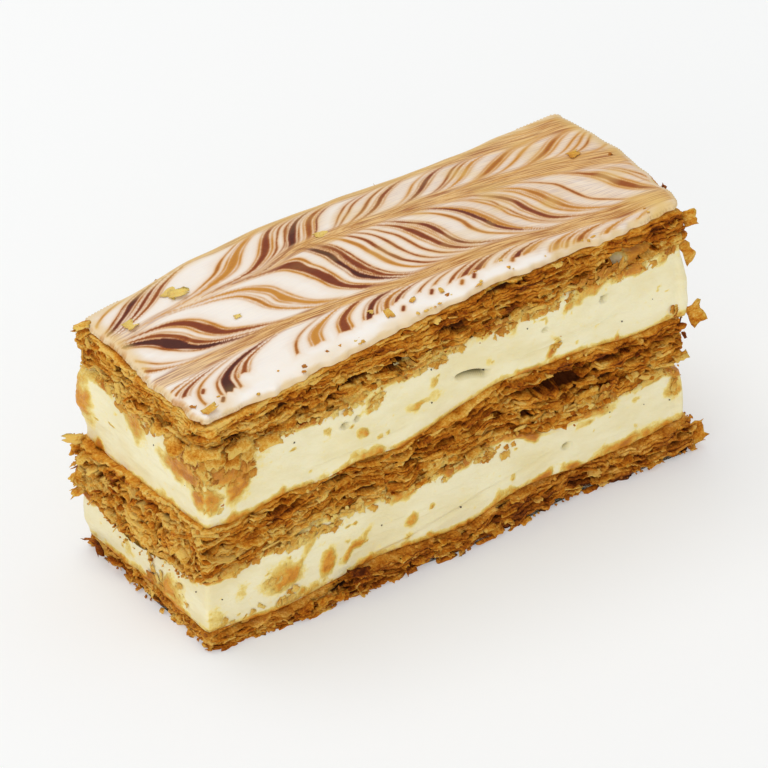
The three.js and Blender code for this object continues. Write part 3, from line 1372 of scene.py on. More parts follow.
@dataclass(frozen=True)
class Spine:
    """The path of one pass of the comb through the fondant.

    Attributes:
        path: Its Y along the slice.
        pull: How far it drags the lines, in millimetres.
        half_width: Half the width of the tan band that it leaves.
        blend: How fully that band is tan.
        way: 1 where the comb went towards +X, -1 where it came back.
        lower_side: How much narrower the band is on its near side.
    """

    path: Track
    pull: Track
    half_width: Track
    blend: Track
    way: int
    lower_side: float = 1.0

    FADE = 2.5

    def shift(self, x: Array, y: Array) -> Array:
        """How far this pass dragged the fondant along X."""
        return self.way * self.pull(x) * np.exp(-np.abs(y - self.path(x)) / self.FADE)

    def band(self, x: Array, y: Array) -> Array:
        """How fully the fondant is blended to tan, from 0 to 1."""
        ragged = 0.35 * fractal(650 + self.way, 2, x / 6.0, y / 0.8)
        offset = y - self.path(x)
        apart = np.abs(offset) * np.where(offset < 0.0, self.lower_side, 1.0) + ragged
        return self.blend(x) * smoothstep(1.45, 0.55, apart / self.half_width(x))


@dataclass
class Feathering:
    """Piped chocolate lines, combed in turn towards +X, -X and +X.

    Between two combed spines every line runs in an S. Close to a spine the lines are drawn
    out so thin that they blend into a tan band.

    Attributes:
        near, middle, far: The three passes of the comb.
        near_lines, middle_lines, far_lines: The lines as they lie in front of the near spine,
            between it and the middle one, and behind that.
        dashes: Short strokes at the near rim: along, across and tone.
        ground_tan: How far the fondant in front of the lines is tan.
        swell: How much wider than piped the lines have run.
        finest: The thinnest line that is drawn; thinner ones grow fainter.
    """

    near: Spine = Spine(
        path=Track(
            (-55, -5.6), (-40, -5.7), (-25, -6.5), (-14, -8), (0, -10.3), (11, -11),
            (21, -12.1), (32, -13.9), (43, -15.6), (57, -16.6),
        ),
        pull=Track((-55, 26), (-30, 24), (-22, 18), (-12, 12), (0, 13), (20, 17), (57, 18)),
        half_width=Track(
            (-55, 2.2), (-46, 2.6), (-25, 2), (-14, 1.6), (0, 2), (21, 2.3), (35, 2.5), (50, 3.2)
        ),
        blend=Track((-55, 0.8), (-30, 1), (57, 1)),
        way=1,
        lower_side=1.5,
    )
    middle: Spine = Spine(
        path=Track(
            (-55, 11.1), (-43, 11.5), (-32, 10.6), (-22, 9.4), (-12, 10.9), (0, 10.8), (11, 9.3),
            (21, 8.6), (32, 7.6), (43, 5.4), (50, 2.6), (57, 0),
        ),
        pull=Track(
            (-55, 20), (-40, 20), (-28, 15), (-18, 9), (-12, 4.5), (-6, 5), (2, 11), (20, 16), (57, 18)
        ),
        half_width=Track(
            (-55, 1.8), (-40, 1.2), (-22, 0.9), (-11, 1.7), (0, 2), (10, 2.3), (35, 2.8), (57, 3.8)
        ),
        blend=Track((-55, 0.6), (-40, 0.5), (-24, 0.6), (-12, 0.95), (57, 1)),
        way=-1,
    )
    far: Spine = Spine(
        path=Track(
            (-55, 24), (-32, 22.8), (-21, 22), (-10, 22.3), (0, 22.2), (11, 21.1), (21, 20.8),
            (32, 20), (43, 17.9), (57, 15.2),
        ),
        pull=Track((-55, 18), (-25, 18), (-12, 11), (0, 15), (57, 18)),
        half_width=Track((-55, 1.2), (-20, 1.5), (0, 2), (30, 2.6), (57, 4)),
        blend=Track((-55, 0.7), (-20, 0.9), (57, 1)),
        way=1,
    )

    near_lines: tuple[DrawnLine, ...] = each(
        DrawnLine,
        (-60, 0.9, 0.5, -9), (-57, 0.7, 0.5, -10.5), (-54.5, 1, 0.25, -12.2), (-51.3, 0.6, 0.6, -16.4),
        (-45.5, 2.2, 0, -15.9), (-42.1, 1.2, 0.35, -13.3), (-30.3, 0.6, 0.5, -15.3),
        (-26.2, 1.3, 0.95, -14.9), (-19.8, 1.5, 0.35, -15.3), (-13.9, 1.6, 0.1, -15.1),
        (-10.5, 1.1, 0.6, -14.9), (-8.2, 0.9, 0.2, -14.2), (-3.8, 0.7, 0.4, -14.4),
        (-0.5, 0.6, 0.5, -14.8), (3.1, 0.8, 0.4, -15.5), (5.8, 1.2, 0.3, -15.6), (8.3, 1.3, 0.3, -15.8),
        (13.2, 1, 0.5, -15.6), (17.4, 1.3, 0.2, -16.7), (19.1, 1.1, 0.8, -16.7), (24.8, 1.1, 0.75, -18.7),
        (27.2, 0.7, 0.6, -19.6), (30.1, 1.3, 0.55, -20.5), (36, 1, 0.8, -20), (41, 0.9, 0.7, -20.6),
    )
    middle_lines: tuple[DrawnLine, ...] = each(
        DrawnLine,
        (-57, 1.4, 0.5), (-53, 0.6, 0.6), (-45.3, 2.5, 0), (-42.9, 1.2, 0.35), (-38.2, 1.9, 0.3),
        (-26.4, 0.9, 0.7), (-22.4, 1.6, 0.95), (-12.8, 1.9, 0.25), (-7.4, 1.1, 0), (-5.4, 1.1, 0.3),
        (-4, 0.4, 0.3), (-0.9, 0.8, 0.8), (1.4, 0.8, 0.3), (3.8, 0.5, 0.35), (6.5, 0.6, 0.4),
        (9.5, 1.1, 0.3), (12.5, 0.9, 0.2), (18.2, 0.8, 0.65), (21.5, 1.1, 0.12), (22.6, 0.9, 0.8),
        (27.1, 0.45, 0.7), (28.3, 0.45, 0.5), (31, 1.3, 0.3), (34.7, 0.5, 0.7), (36.6, 1.1, 0.75),
        (41.4, 0.6, 0.45), (48.8, 1.6, 0.5), (52.9, 0.4, 0.6), (54.2, 0.4, 0.5), (58, 0.8, 0.6),
        (62, 1, 0.6), (67, 0.7, 0.6),
    )
    far_lines: tuple[DrawnLine, ...] = each(
        DrawnLine,
        (-60, 0.8, 0.7), (-52.7, 0.8, 0.75), (-48.3, 0.7, 0.4), (-46.2, 1.9, 0.05), (-42.7, 1, 0.2),
        (-39.9, 1.2, 0.35), (-27, 0.7, 0.6), (-23.7, 1.7, 0.9), (-16.4, 1.8, 0.3), (-13.4, 0.5, 0.35),
        (-11.9, 0.5, 0.35), (-10, 1.3, 0.05), (-6.3, 1.3, 0.5), (-4.6, 0.6, 0.2), (1, 0.5, 0.4),
        (3, 0.5, 0.35), (6.2, 0.8, 0.35), (9.6, 1.2, 0.25), (16.3, 0.5, 0.7), (19.3, 1.4, 0.15),
        (24.8, 0.7, 0.3), (26.4, 0.6, 0.5), (28.7, 0.9, 0.8), (35.2, 1.6, 0.7), (39.5, 0.8, 0.8),
        (45.3, 1.8, 0.65), (50, 0.5, 0.7), (51.8, 0.5, 0.7), (53.5, 0.6, 0.5), (58, 0.8, 0.6),
        (63, 0.8, 0.6),
    )
    dashes: tuple[tuple[float, float, float], ...] = (
        (-47.4, -17, 0.1), (-6.5, -16.7, 0.2), (0.5, -15.9, 0.2), (6.6, -17.1, 0.6), (9.5, -16.9, 0.2),
        (18.4, -16.8, 0.5), (-49, -12.6, 0.3),
    )
    ground_tan: Track = Track((-55, 0.04), (-15, 0.07), (10, 0.2), (30, 0.32), (57, 0.46))
    swell: Track = Track((-57, 1.1), (-20, 1.08), (10, 1.12), (57, 0.98))
    finest: float = 0.34

    COMPANIONS = ((0.0, 1.0, 0.0), (0.62, 0.26, 0.4), (-0.58, 0.22, 0.45))
    BROAD = 0.85
    DASH_LEAN = math.radians(50)

    def paint(self, x: Array, y: Array) -> dict[str, Array]:
        """Work out the drawn pattern on a grid over the fondant.

        Args:
            x, y: The grid's points, with rows along X.

        Returns:
            Fields for the finish: distance to the nearest line's edge in millimetres,
            negative inside it, that line's tone and strength, how far the fondant is
            blended to tan, and the place across the nearest spine.
        """
        wave_x = x + 0.6 * noise(701, x / 13.0, y / 7.0) + 0.25 * noise(702, x / 4.0, y / 3.0)
        wave_y = y + 0.5 * noise(703, x / 11.0, y / 9.0)
        spines = (self.near, self.middle, self.far)
        source = wave_x - sum(spine.shift(x, wave_y) for spine in spines)
        slope_x = np.gradient(source, axis=0) / np.maximum(np.gradient(x, axis=0), 1e-3)
        slope_y = np.gradient(source, axis=1) / np.maximum(np.gradient(y, axis=1), 1e-3)
        steep = np.maximum(np.hypot(slope_x, slope_y), 0.6)
        offsets = [wave_y - spine.path(x) for spine in spines]
        distance = np.full(x.shape, 99.0)
        tone = np.full(x.shape, 0.5)
        strength = np.ones(x.shape)
        bands = (
            (self.near_lines, offsets[0] < 0.0),
            (self.middle_lines, (offsets[0] >= 0.0) & (offsets[1] < 0.0)),
            (self.far_lines, offsets[1] >= 0.0),
        )
        for lines, mine in bands:
            for number, line in enumerate(lines):
                sway = 0.25 * noise(720 + number, y / 3.0)
                swell = self.swell(x) * (1.0 + 0.3 * noise(760 + number, y / 2.6, x / 6.0))
                limit = line.reach - y + 0.4 * noise(790 + number, x / 0.8)
                strokes = self.COMPANIONS if line.width > self.BROAD else self.COMPANIONS[:1]
                for shift, share, paler in strokes:
                    middle = line.place + sway + shift * (line.width + 0.9)
                    width = swell * line.width * share / steep
                    apart = np.abs(source - middle) / steep - np.maximum(width, self.finest) / 2
                    apart = np.maximum(apart, limit)
                    closer = mine & (apart < distance)
                    distance = np.where(closer, apart, distance)
                    tone = np.where(closer, line.tone + paler, tone)
                    strength = np.where(closer, np.minimum(width / self.finest, 1.0), strength)
        cosine, sine = math.cos(self.DASH_LEAN), math.sin(self.DASH_LEAN)
        for along, across, dash_tone in self.dashes:
            right, up = x - along, y - across
            long_way = np.abs(right * cosine + up * sine) - 0.5
            short_way = up * cosine - right * sine
            apart = np.hypot(np.maximum(long_way, 0.0), short_way) - 0.35
            tone = np.where(apart < distance, dash_tone, tone)
            strength = np.where(apart < distance, 1.0, strength)
            distance = np.minimum(distance, apart)
        blended = np.maximum.reduce([spine.band(x, wave_y) for spine in spines])
        reach = np.interp(x[:, :1], *zip(*((line.place, line.reach) for line in self.near_lines)))
        ground = self.ground_tan(x) * smoothstep(-1.5, 1.5, y - reach)
        ground = ground + 0.12 * noise(741, source / 1.2, y / 9.0) * (ground > 0.1)
        nearest = np.argmin(np.abs(np.stack(offsets)), axis=0)
        strand = np.choose(nearest, offsets) + 17.0 * nearest
        return {
            "line_distance": np.minimum(distance, 3.0),
            "line_tone": tone + 0.2 * blended,
            "line_strength": strength * (1.0 - 0.5 * blended),
            "drawn": np.maximum(blended, np.clip(ground, 0.0, 1.0)),
            "strand": strand,
        }


@dataclass
class FondantTop:
    """The poured fondant, thinning out at its rim where it meets the pastry.

    Attributes:
        node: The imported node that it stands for.
        columns, rows: Cells of its upper face along X and Y.
        corner: Radius of its corners.
        rounding: How far in its rim is rounded.
        rim: Thickness left at the very rim.
        feathering: The chocolate lines in it.
    """

    node: str = "fondant_icing"
    columns: int = 440
    rows: int = 164
    corner: float = 1.6
    rounding: float = 2.0
    rim: float = 0.3
    feathering: Feathering = field(default_factory=Feathering)

    def _lay(self, shape: LayerShape, a: Array, b: Array) -> tuple[Array, Array]:
        """Lay a unit square out to the fondant's outline.

        Args:
            shape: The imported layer.
            a, b: Shares of the way along X and Y.

        Returns:
            X and Y of each point.
        """
        ring = shape.ring(0.5, 1.0)

        def rim(side: Side, at: Array) -> Array:
            """Read how far out a side stands."""
            mine = ring.towards(side) > 0.8
            along, out = side.along(ring.x, ring.y)[mine], side.along(ring.y, ring.x)[mine]
            order = np.argsort(along)
            return np.interp(at, along[order], out[order])

        rough_y = shape.low[1] + (shape.high[1] - shape.low[1]) * b
        left = rim(Side.LEFT, rough_y) - 0.1 + 0.6 * noise(803, rough_y / 3.4)
        left = left + 0.3 * noise(804, rough_y / 1.2)
        right = rim(Side.RIGHT, rough_y) + 0.1 + 0.4 * noise(805, rough_y / 4.0)
        x = left + (right - left) * a
        near = rim(Side.NEAR, x) + 0.55 + 0.5 * noise(801, x / 4.0) + 0.3 * noise(806, x / 1.6)
        far = rim(Side.FAR, x) + 0.1 + 0.3 * noise(802, x / 6.0)
        return self._round_corners(x, near + (far - near) * b, left, right, near, far)

    def _round_corners(
        self, x: Array, y: Array, left: Array, right: Array, near: Array, far: Array
    ) -> tuple[Array, Array]:
        """Draw the square corners in to quarter circles."""
        radius = self.corner
        middle_x, middle_y = (left + right) / 2, (near + far) / 2
        side_x, side_y = np.sign(x - middle_x), np.sign(y - middle_y)
        edge_x = np.where(side_x > 0, right, left)
        edge_y = np.where(side_y > 0, far, near)
        u = np.clip(1.0 - np.abs(edge_x - x) / radius, 0.0, 1.0)
        v = np.clip(1.0 - np.abs(edge_y - y) / radius, 0.0, 1.0)
        round_u = u * np.sqrt(1.0 - v * v / 2)
        round_v = v * np.sqrt(1.0 - u * u / 2)
        return x + side_x * (round_u - u) * radius, y + side_y * (round_v - v) * radius

    def build(self) -> None:
        """Build the fondant and fix it to the slice."""
        shape = LayerShape(self.node)
        a, b = np.meshgrid(
            self._spread(self.columns, 0.013), self._spread(self.rows, 0.034), indexing="ij"
        )
        x, y = self._lay(shape, a, b)
        to_rim = self._to_rim(x, y)
        surface = shape.top(x, y) + 0.10 * noise(811, x / 8.0, y / 6.0)
        surface = surface + 0.05 * noise(812, x / 3.0, y / 2.5)
        thick = np.maximum(surface - shape.bottom(x, y) - self.rim, 0.2)
        inward = np.clip(1.0 - to_rim / self.rounding, 0.0, 0.999)
        z = surface - thick * (1.0 - np.sqrt(1.0 - inward**2))
        fields = self.feathering.paint(x, y)
        rim_fade = smoothstep(0.2, 1.1, to_rim)
        fields["line_distance"] = fields["line_distance"] * rim_fade + 0.8 * (1.0 - rim_fade)
        fields["drawn"] = fields["drawn"] * (0.5 + 0.5 * rim_fade)
        left_end = smoothstep(-50.0, -56.0, x)
        specks = fractal(821, 2, x / 1.6, y / 1.6) + 0.35 * left_end
        crumbed = smoothstep(0.3 + 1.9 * left_end, 0.0, to_rim) * smoothstep(0.25, 0.8, specks)
        fields["crumbed"] = 0.85 * crumbed * (0.3 + 0.7 * left_end)
        glazed = fractal(824, 2, x / 7.0, y / 5.0)
        thinned = (
            smoothstep(1.3, 0.1, to_rim + 0.5 * noise(823, x / 2.2, y / 2.2)),
            glazed * (0.55 * smoothstep(9.0, 1.5, y + 22.0) + 0.75 * smoothstep(-30.0, 25.0, x)),
            0.9 * smoothstep(3.6, 0.8, to_rim) * (y > 0.0),
        )
        fields["thin"] = np.maximum.reduce(thinned)
        piece = self._close(np.stack([x, y, z], axis=-1), fields, shape)
        settle(piece, "fondant", self.node)

    @staticmethod
    def _spread(cells: int, rim: float) -> Array:
        """Shares from 0 to 1, closer together near both ends."""
        inner = np.linspace(rim, 1.0 - rim, cells - 7)
        outer = rim * np.linspace(0.0, 1.0, 5)[:-1]
        return np.concatenate([outer, inner, 1.0 - outer[::-1]])

    @staticmethod
    def _to_rim(x: Array, y: Array) -> Array:
        """Distance from each grid point to the grid's edge."""
        edges = (np.s_[:, :1], np.s_[:, -1:], np.s_[:1], np.s_[-1:])
        reach = np.minimum.reduce([np.hypot(x - x[edge], y - y[edge]) for edge in edges])
        sides = (np.s_[:, 0], np.s_[-1, :], np.s_[::-1, -1], np.s_[0, ::-1])
        border = [np.concatenate([values[side] for side in sides])[::3] for values in (x, y)]
        close = reach < 4.0
        close[len(x) // 12 : -len(x) // 12] = False
        for i, j in zip(*np.nonzero(close)):
            reach[i, j] = np.min(np.hypot(border[0] - x[i, j], border[1] - y[i, j]))
        return reach

    def _close(self, points: Array, fields: dict[str, Array], shape: LayerShape) -> bpy.types.Object:
        """Carry the rim down the side and close the fondant underneath.

        Args:
            points: The upper face's grid.
            fields: Values for each of its points.
            shape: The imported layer.

        Returns:
            The finished object.
        """
        columns, rows, _ = points.shape
        index = np.arange(columns * rows).reshape(columns, rows)
        quads = grid_faces(index)
        border = grid_border(index)
        rim = points.reshape(-1, 3)[border]
        ahead = np.roll(rim, -1, axis=0) - np.roll(rim, 1, axis=0)
        ahead = smooth_ring(ahead[:, :2], 3.0)
        ahead /= np.linalg.norm(ahead, axis=1)[:, None]
        out = np.stack([ahead[:, 1], -ahead[:, 0]], axis=1)
        base = shape.bottom(rim[:, 0] - out[:, 0] * 1.5, rim[:, 1] - out[:, 1] * 1.5)
        run = 0.35 * noise(831, *rim[:, :2].T / 2.6) + 0.25 * noise(832, *rim[:, :2].T / 7.0)
        loops = [rim]
        for drop, step in ((0.5, 0.06), (1.0, -0.15), (0.95, -0.9), (0.6, -2.5)):
            place = rim[:, :2] + out * (step + 0.2 * run[:, None])
            height = rim[:, 2] + (base + 0.05 - 0.3 * np.abs(run) - rim[:, 2]) * drop
            loops.append(np.column_stack([place, height]))
        count = len(border)
        numbers = [border, *(index.size + np.arange(count * len(loops[1:])).reshape(-1, count))]
        skirts = [band_faces(upper, lower) for upper, lower in itertools.pairwise(numbers)]
        faces = np.concatenate([quads, *skirts]).tolist() + [numbers[-1][::-1].tolist()]
        everything = np.concatenate([points.reshape(-1, 3), *loops[1:]])
        source = np.concatenate([index.reshape(-1), *([border] * len(loops[1:]))])
        full = {key: value.reshape(-1)[source] for key, value in fields.items()}
        flat_map = self._flat_map(everything, quads, numbers)
        return make_piece("fondant_top", everything, faces, FondantFinish().make(), True, full, flat_map)

    @staticmethod
    def _flat_map(points: Array, quads: Array, numbers: list[Array]) -> Array:
        """Lay the upper face out as seen from above, and the rim as strips beyond it.

        Args:
            points: Every point of the fondant.
            quads: Faces of its upper face.
            numbers: The points of each loop from the rim downwards.

        Returns:
            Places on the flat map for each corner of each face.
        """
        upper = points[: quads.max() + 1]
        plan = (points[:, :2] - upper[:, :2].min(axis=0)) / np.ptp(upper[:, :2], axis=0)
        plan = plan * (0.98, 0.78) + 0.01
        parts = [plan[quads.reshape(-1)]]
        count = len(numbers[0])
        step = np.arange(count) / count
        for level in range(len(numbers) - 1):
            head, foot = 0.98 - 0.025 * level, 0.955 - 0.025 * level
            ahead = step + 1.0 / count
            corners = ((step, head), (step, foot), (ahead, foot), (ahead, head))
            cells = [np.stack(np.broadcast_arrays(*corner), axis=1) for corner in corners]
            parts.append(np.stack(cells, axis=1).reshape(-1, 2) * (0.98, 1.0) + (0.01, 0.0))
        parts.append(plan[numbers[-1][::-1]] * (0.25, 0.04) + (0.7, 0.80))
        return np.concatenate(parts)


# ---- flakes, crumbs and specks


LOWEST = 0.02


def settle_bits(
    name: str,
    points: Array,
    faces: Array,
    material: bpy.types.Material,
    fields: Mapping[str, Array],
    slot: str,
) -> None:
    """Join many equally made bits into one piece and fix it to the slice.

    Args:
        name: Name of the piece.
        points: The points of all bits.
        faces: The faces of one bit, each by the numbers of its points.
        material: Finish of the surface.
        fields: Named values for each point.
        slot: The record's material slot that the piece belongs to.
    """
    points[:, 2] = np.maximum(points[:, 2], LOWEST)
    first = np.arange(0, len(points), faces.max() + 1)
    everything = (faces + first[:, None, None]).reshape(-1, faces.shape[1]).tolist()
    settle(make_piece(name, points, everything, material, True, fields), slot)


@dataclass
class Flakes:
    """Loose leaves of pastry, as thin curled plates with torn outlines.

    Attributes:
        name: Name of the piece.
        finish: How well they are baked.
        across, deep: How many points each one has along its length and its width.
        parts: The flakes so far.
    """

    name: str
    finish: PastryFinish
    across: int = 7
    deep: int = 5
    parts: list[dict[str, Array]] = field(default_factory=list)

    def scatter(
        self,
        rng: np.random.Generator,
        place: Array,
        reach: Array,
        lay: Array,
        length: Array,
        width: Array,
        tone: Array,
        curl: float = 1.0,
        yaw: float = 0.4,
    ) -> None:
        """Add flakes.

        Args:
            rng: Source of random numbers.
            place: Where each flake is held, one row for each.
            reach: The direction in which each one sticks out.
            lay: The direction that its upper face looks in.
            length: Size of each across its reach.
            width: Size of each along its reach.
            tone: How baked each is.
            curl: How strongly they curl.
            yaw: How far each may be turned in its own plane, in radians.
        """
        count = len(place)
        a = np.linspace(-1.0, 1.0, self.across)[None, :, None]
        b = np.linspace(0.0, 1.0, self.deep)[None, None, :]
        shape = (count, self.across, self.deep)
        torn = 1.0 + 0.28 * rng.uniform(-1, 1, (count, self.across, 1))
        notch = 1.0 + 0.16 * rng.uniform(-1, 1, (count, 1, self.deep))
        taper = 1.0 - 0.35 * b**2 * rng.uniform(0, 1, (count, 1, 1))
        along = a * length[:, None, None] / 2 * notch * taper + 0.05 * rng.uniform(-1, 1, shape)
        outward = (b - 0.4) * width[:, None, None] * torn + 0.04 * rng.uniform(-1, 1, shape)
        bend = rng.uniform(-0.16, 0.16, (count, 1, 1)) * length[:, None, None]
        droop = rng.uniform(-0.28, 0.14, (count, 1, 1)) * width[:, None, None]
        rise = curl * (bend * a**2 + droop * b**2) + 0.05 * rng.uniform(-1, 1, shape)
        thick = np.broadcast_to(0.09 * (1.0 - 0.6 * np.maximum(np.abs(a), b)), shape)
        reach = reach / np.linalg.norm(reach, axis=1)[:, None]
        side = np.cross(reach, lay)
        side /= np.linalg.norm(side, axis=1)[:, None]
        turn = yaw * rng.uniform(-1.0, 1.0, count)[:, None]
        ahead = reach * np.cos(turn) + side * np.sin(turn)
        side = side * np.cos(turn) - reach * np.sin(turn)
        middle, side, ahead, face = (
            axis[:, None, None] for axis in (place, side, ahead, np.cross(side, ahead))
        )
        flat = middle + along[..., None] * side + outward[..., None] * ahead
        sheets = [flat + (rise + sign * thick)[..., None] * face for sign in (1.0, -1.0)]
        points = np.stack(sheets, axis=1)
        grade = tone[:, None, None, None] + 0.10 * rng.uniform(-1, 1, points.shape[:-1])
        # Painted highlight: each flake's thin torn rim is paler, standing in for light that shines
        # through it.
        grade = grade - 0.18 * np.maximum(np.abs(a), b)[:, None] ** 4
        # Painted shade: darker towards the flake's inner end, where it meets the sheet.
        inner = np.broadcast_to(0.4 * (1.0 - b[:, None]), points.shape[:-1])
        self.parts.append({"points": points, "tone": grade, "recess": inner})

    def _faces(self) -> Array:
        """Faces of one plate: upper side, lower side and rim."""
        upper = np.arange(self.across * self.deep).reshape(self.across, self.deep)
        lower = upper + upper.size
        rim = band_faces(grid_border(upper), grid_border(lower))
        return np.concatenate([grid_faces(upper), grid_faces(lower)[:, [0, 3, 2, 1]], rim])

    def build(self) -> None:
        """Join the flakes into one piece and fix it to the slice."""
        joined = {key: [part[key].ravel() for part in self.parts] for key in self.parts[0]}
        fields = {key: np.concatenate(values) for key, values in joined.items()}
        points = fields.pop("points").reshape(-1, 3)
        settle_bits(self.name, points, self._faces(), self.finish.make(), fields, "puff_pastry")


@dataclass
class Crumbs:
    """Small broken bits, as dented grains.

    Attributes:
        name: Name of the piece.
        material: Their finish.
        slot: The record's material slot that they belong to.
        seed: Which random shapes they have.
        finely: How finely each grain is made.
        parts: The grains so far.
    """

    name: str
    material: bpy.types.Material
    slot: str
    seed: int
    finely: int = 2
    parts: list[tuple[Array, Array, Array]] = field(default_factory=list)

    def scatter(self, places: Array, sizes: Array, tones: Array) -> None:
        """Add grains at places, each with its three sizes and its tone."""
        self.parts.append((places, sizes, tones))

    def build(self) -> None:
        """Join the grains into one piece and fix it to the slice."""
        rng = np.random.default_rng(self.seed)
        ball = bmesh.new()
        bmesh.ops.create_icosphere(ball, subdivisions=self.finely, radius=1.0)
        ball.verts.index_update()
        unit = np.array([vertex.co for vertex in ball.verts])
        faces = np.array([[vertex.index for vertex in face.verts] for face in ball.faces])
        ball.free()
        places, sizes, tones = (np.concatenate(values) for values in zip(*self.parts))
        count = len(places)
        dents = rng.uniform(0.5, 1.3, (count, len(unit), 1))
        spin = np.linalg.qr(rng.normal(size=(count, 3, 3)))[0]
        spun = np.einsum("cij,pj->cpi", spin, unit)
        points = (places[:, None] + spun * dents * sizes[:, None] / 2).reshape(-1, 3)
        tone = np.repeat(tones, len(unit))
        fields = {"tone": tone, "recess": np.zeros_like(tone)}
        settle_bits(self.name, points, faces, self.material, fields, self.slot)


# ---- the whole slice


@dataclass(frozen=True)
class Cluster(Patch):
    """Torn bits of leaf that stick to a cut side.

    Attributes:
        half_along, half_up: Half its size along the side and upwards.
        count: How many bits it holds.
        size: Usual size of a bit.
        tone: How baked they are.
    """

    half_along: float
    half_up: float
    count: int
    size: float
    tone: float


@dataclass(frozen=True)
class LooseLeaf:
    """One leaf that sticks out of the slice.

    Attributes:
        place: Where it is held.
        reach: The direction in which it sticks out.
        length: Its size across its reach.
        width: Its size along its reach.
        tone: How baked it is.
        lay: The direction that its upper face looks in.
    """

    place: tuple[float, float, float]
    reach: tuple[float, float, float]
    length: float
    width: float
    tone: float
    lay: tuple[float, float, float] = (0, 0, 1)


BOTTOM_HOLLOWS = (
    *on_side(Hollow, Side.NEAR, (-26, 3.4, 5, 1.6, 1.6), (12, 6, 3.5, 1.2, 1.4)),
    *on_side(Hollow, Side.LEFT, (-2, 1.6, 8, 1.2, 1.2)),
)
MIDDLE_HOLLOWS = (
    *on_side(
        Hollow, Side.NEAR,
        (26.6, 28.5, 15, 3.4, 4.4), (33.5, 24.6, 14, 1.8, 2.2), (40.6, 29.4, 8, 1.8, 2.8),
        (18, 24, 5, 1.8, 2), (11, 27, 5, 1.4, 1.8), (-37, 25.2, 11, 1.8, 2.3), (-25, 26.4, 8, 1.6, 2),
        (-45, 20.6, 7, 1.4, 1.8), (-8, 24.5, 8, 1.4, 1.8), (-18, 22, 5, 1.2, 1.5),
    ),
    *on_side(Hollow, Side.LEFT, (-9, 24, 6, 1.6, 1.9), (14, 22, 4, 3, 2.6), (4, 25, 6, 1.3, 1.6)),
)
TOP_HOLLOWS = (
    *on_side(
        Hollow, Side.NEAR,
        (-10, 47.2, 8, 2.6, 2.8), (13.5, 55, 12, 1.4, 1.9), (-29, 45.2, 10, 1.6, 2),
        (-20, 47.6, 8, 1.3, 1.6), (43.6, 50.3, 11, 4.6, 4), (-38, 47.6, 9, 1.4, 1.8),
        (-48, 46, 7, 1.3, 1.6), (2, 50.4, 6, 1.2, 1.5),
    ),
    *on_side(Hollow, Side.LEFT, (-8, 46, 5, 1.8, 2), (6, 48, 8, 1.2, 1.5), (-17.5, 46.6, 4, 1.6, 2)),
)
LOWER_SMEARS = (
    *on_side(
        Smear, Side.NEAR,
        (-38, 9.5, 9, 7, 20, 1), (-27.6, 8.6, 6.5, 3, 80, 1.1), (-21.5, 10.2, 8.5, 2.2, 38, 1.1),
        (-33, 12.5, 6, 2.4, 60, 0.9), (-8.4, 11, 3.4, 2.6, 70, 0.95), (-9.4, 7.6, 2.2, 1.6, 0, 0.8),
        (31.6, 16, 5, 1.8, 10, 0.6), (44, 16.6, 2.4, 1.6, 0, 0.7), (52, 15.8, 4, 3.4, 60, 1.1),
        (-53.5, 6, 7, 6, 20, 0.5), (-47, 10, 4, 3, 50, 0.6),
    ),
    *on_side(
        Smear, Side.LEFT,
        (-7.5, 6.4, 10, 5, -25, 1), (8, 8, 7, 3, 60, 0.6), (-14.5, 13, 3, 2, 20, 0.9),
    ),
)
UPPER_SMEARS = (
    *on_side(
        Smear, Side.NEAR,
        (-50, 39.5, 18, 8, -8, 1.2), (-46.5, 34.5, 9, 5, 70, 1.05), (-53.5, 33, 6, 5, 20, 0.95),
        (-26.6, 37.4, 2.2, 1.8, 0, 0.9), (-18.4, 35, 2.6, 2.2, 60, 1), (-15.2, 32.8, 1.8, 1.4, 0, 0.9),
        (-16.3, 40.8, 4.2, 3.2, 30, 1.05), (-4, 36.4, 7.5, 2, 8, 0.75), (-2.7, 39.4, 2.4, 1.8, 60, 0.85),
        (10.5, 39.4, 2.6, 2.2, 0, 0.6), (25, 36.4, 4.6, 2.2, 80, 1.05), (32.6, 45.6, 6, 2.4, 10, 0.95),
        (22, 46.2, 8, 2.2, 0, 1), (15.5, 44.6, 4.4, 2.2, 35, 0.9), (28.6, 45.2, 4, 1.8, 50, 0.85),
        (40, 46.8, 5, 2.6, 20, 0.95), (50.5, 47.6, 5, 3, 30, 0.9),
    ),
    *on_side(
        Smear, Side.LEFT,
        (-15, 38.5, 17, 8, -12, 1.2), (-19, 33.5, 6, 5, 70, 1), (3, 38.6, 8, 5.5, 50, 1),
        (19, 36, 13, 5, 85, 1.1),
    ),
)
